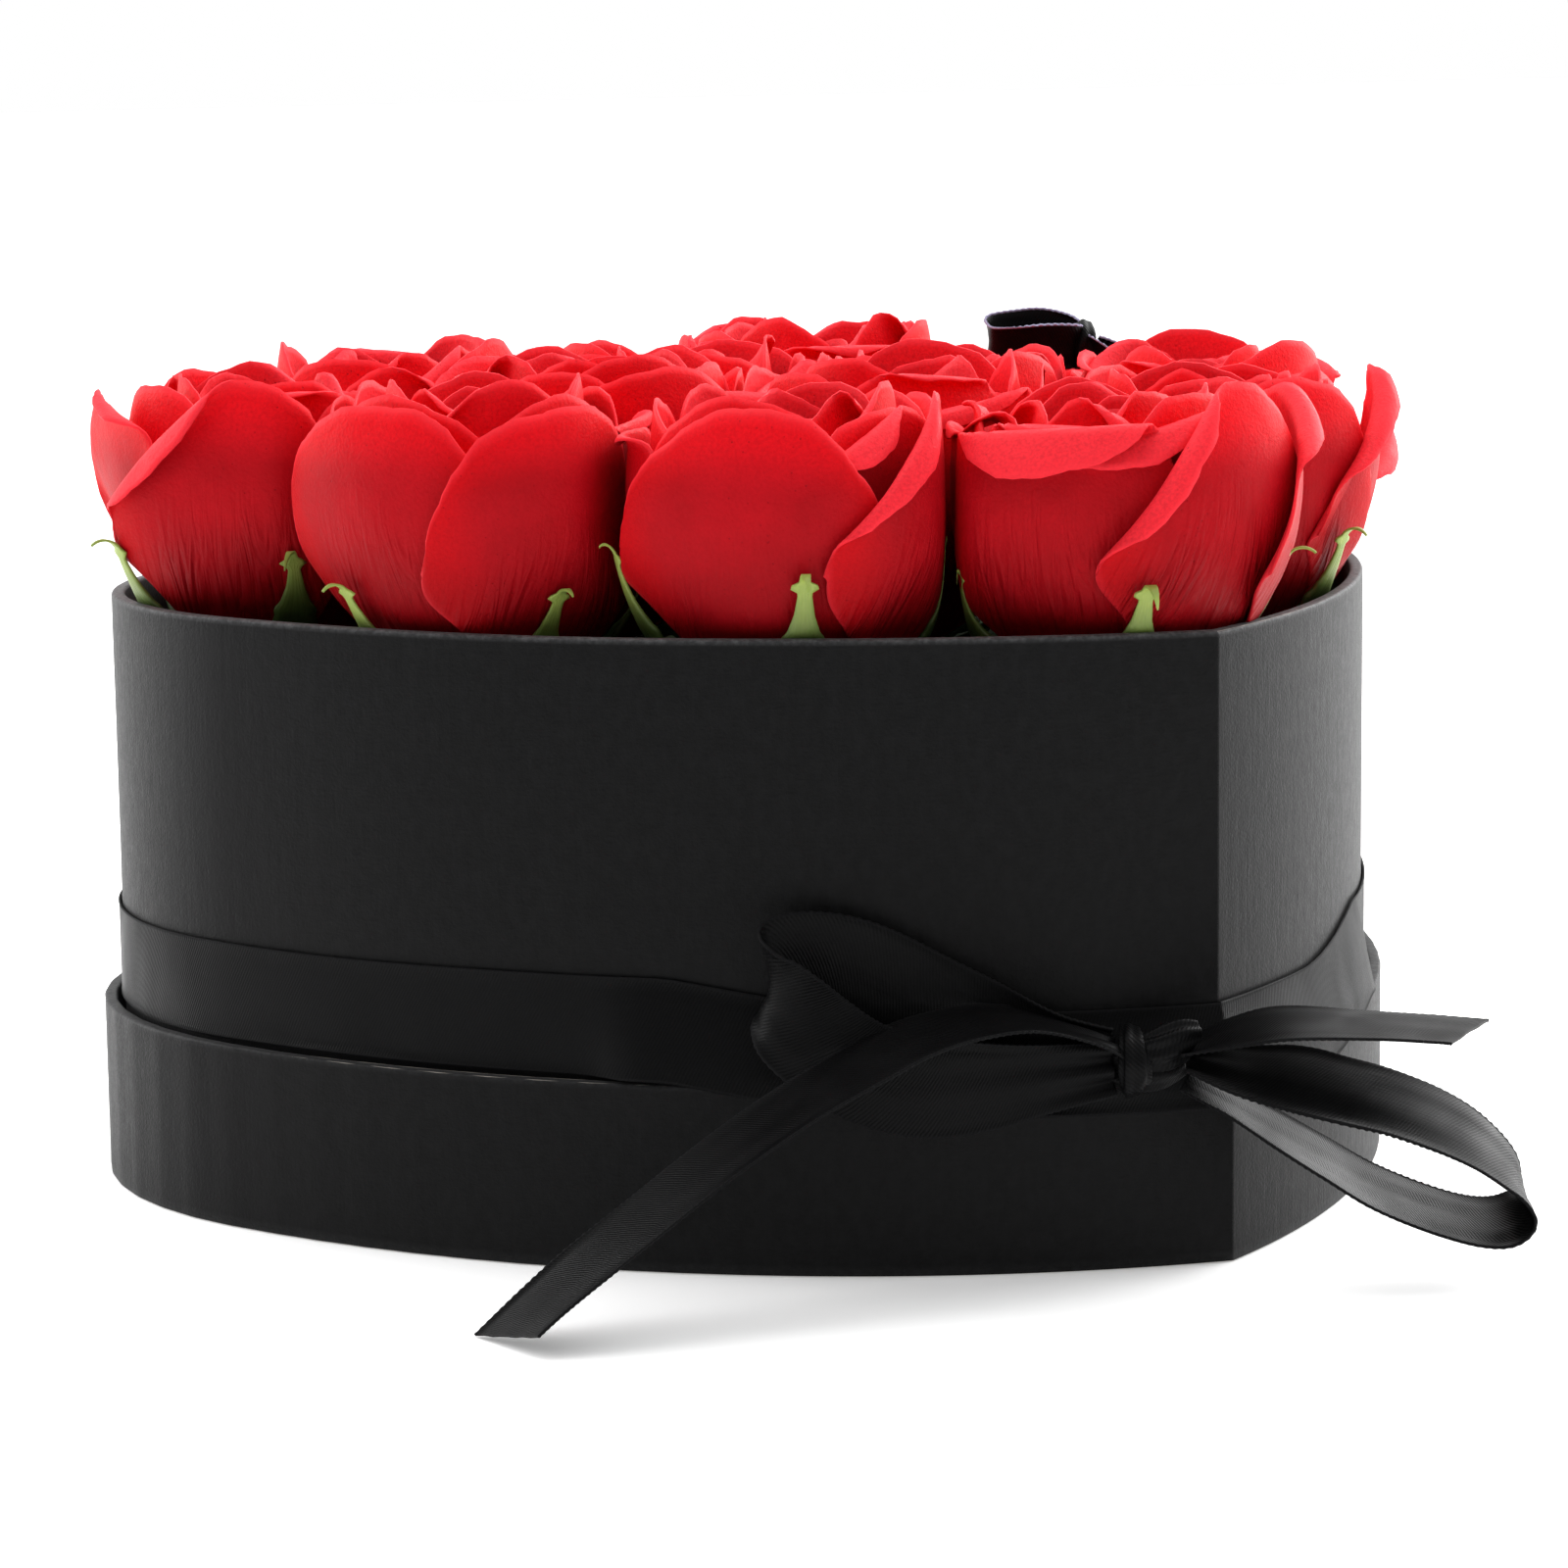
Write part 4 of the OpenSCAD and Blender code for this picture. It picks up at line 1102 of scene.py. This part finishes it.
def rose(index):
    """One rose: outer petals, inner petals with the bud, and its calyx."""
    name = f"rose_{index + 1:02d}"
    rng = np.random.default_rng(100 + index)
    size = ROSE_SIZES.get(index, 1.0)
    outer = Builder()
    if index in FRONT_PETALS:
        for side, half_width, length, shape in FRONT_PETALS[index]:
            shape = {**shape, "fine": abs(side) < 100}
            petal(outer, CUP_1, FRONT + math.radians(side), half_width, length, shape, rng)
    else:
        # Outer petals out of sight take painted top light from a little lower down.
        whorl(outer, CUP_1, 5, 22.5, 56.5 * size, rng.uniform(0, 6.28), rng, painted_light_reach=0.5)
    start = rng.uniform(0, 6.28)
    whorl(outer, CUP_2, 5, 19.5, 53 * size, start, rng, turn=-1, snug=True)
    place_rose(outer, index)
    piece(outer.build(f"{name}_outer_petals", PETAL), name, "rose_soap", f"{name}_petals")
    inner = Builder()
    whorl(inner, CUP_3, 4, 16, 49.5 * size, start + 0.5, rng)
    whorl(inner, CUP_4, 3, 12, 46 * size, start + 1.1, rng, turn=-1)
    bud(inner, start)
    place_rose(inner, index)
    piece(inner.build(f"{name}_inner_petals", PETAL_SHADED_COPY), name, "rose_soap", f"{name}_bud")
    calyx(index, rng)


for index in range(len(ROSES)):
    rose(index)


# ---- Floor, light and camera ----


FLOOR_REACH = 12.0
FLOOR_DROP = 0.2 * MM


def floor():
    """A wide white floor just under the lid."""
    line = np.linspace(-FLOOR_REACH, FLOOR_REACH, 9)
    verts = np.dstack([spread(line, line), np.full((9, 9), -FLOOR_DROP)]).reshape(-1, 3)
    k = np.arange(81).reshape(9, 9)
    faces = np.stack([k[:-1, :-1], k[:-1, 1:], k[1:, 1:], k[1:, :-1]], -1).reshape(-1, 4)
    mesh = bpy.data.meshes.new("floor")
    mesh.from_pydata(verts.tolist(), [], faces.tolist())
    mesh.materials.append(plain_floor("floor_white"))
    add_object("floor", mesh)


def softbox(name, where, aim, size, power):
    data = bpy.data.lights.new(name, "AREA")
    data.shape = "RECTANGLE"
    data.size, data.size_y = size
    data.energy = power
    obj = add_object(name, data)
    obj.location = where
    obj.rotation_euler = (Vector(aim) - Vector(where)).to_track_quat("-Z", "Y").to_euler()


def world():
    """White studio: the backdrop is white, and the light falls mostly from above and behind."""
    w = bpy.data.worlds.new("studio")
    w.use_nodes = True
    nodes, links = w.node_tree.nodes, w.node_tree.links
    back = nodes["Background"]
    coord = nodes.new("ShaderNodeTexCoord")
    behind = nodes.new("ShaderNodeVectorMath")
    behind.operation = "DOT_PRODUCT"
    behind.inputs[1].default_value = (-math.cos(FRONT) * 0.8, -math.sin(FRONT) * 0.8, 0.6)
    ramp = nodes.new("ShaderNodeMapRange")
    for socket, value in zip(("From Min", "From Max", "To Min", "To Max"), (-0.8, 1, 0.2, 1.6)):
        ramp.inputs[socket].default_value = value
    path = nodes.new("ShaderNodeLightPath")
    mix = nodes.new("ShaderNodeMix")
    mix.inputs[3].default_value = 1.0
    links.new(coord.outputs["Generated"], behind.inputs[0])
    links.new(behind.outputs["Value"], ramp.inputs["Value"])
    links.new(path.outputs["Is Camera Ray"], mix.inputs[0])
    links.new(ramp.outputs[0], mix.inputs[2])
    links.new(mix.outputs[0], back.inputs[1])
    back.inputs[0].default_value = (1, 1, 1, 1)
    bpy.context.scene.world = w


# The camera's place in metres, its azimuth, pitch and roll in degrees, and its focal length
CAMERA_AT = (-0.4698, -0.6552, 0.1919)
CAMERA_TURN = (-34.84, 9.03, -0.76)
CAMERA_LENS = 107.94


def camera():
    """The photographer's view: a long lens, a little above the rim."""
    az, pitch, roll = (math.radians(a) for a in CAMERA_TURN)
    right = Vector((math.cos(az), math.sin(az), 0))
    ahead = Vector((-math.sin(az) * math.cos(pitch), math.cos(az) * math.cos(pitch),
                    -math.sin(pitch)))
    up = right.cross(ahead)
    x_axis = right * math.cos(roll) + up * math.sin(roll)
    y_axis = up * math.cos(roll) - right * math.sin(roll)
    data = bpy.data.cameras.new("camera")
    data.lens, data.sensor_width = CAMERA_LENS, 36
    data.clip_start, data.clip_end = 0.05, 20
    obj = add_object("camera", data)
    turn = Matrix((x_axis, y_axis, -ahead)).transposed()
    obj.matrix_world = Matrix.Translation(CAMERA_AT) @ turn.to_4x4()
    bpy.context.scene.camera = obj


floor()
world()
softbox("top", (0.1, 0.35, 1.4), (0, 0, 0.1), (1.6, 1.2), 13.5)
softbox("right_back", (1.3, 0.1, 0.7), (0, 0, 0.08), (1.2, 1.2), 27)
softbox("left_back", (-0.7, 1.3, 0.5), (0, 0, 0.08), (0.9, 0.9), 13)
camera()
bpy.context.scene.view_settings.view_transform = "Standard"
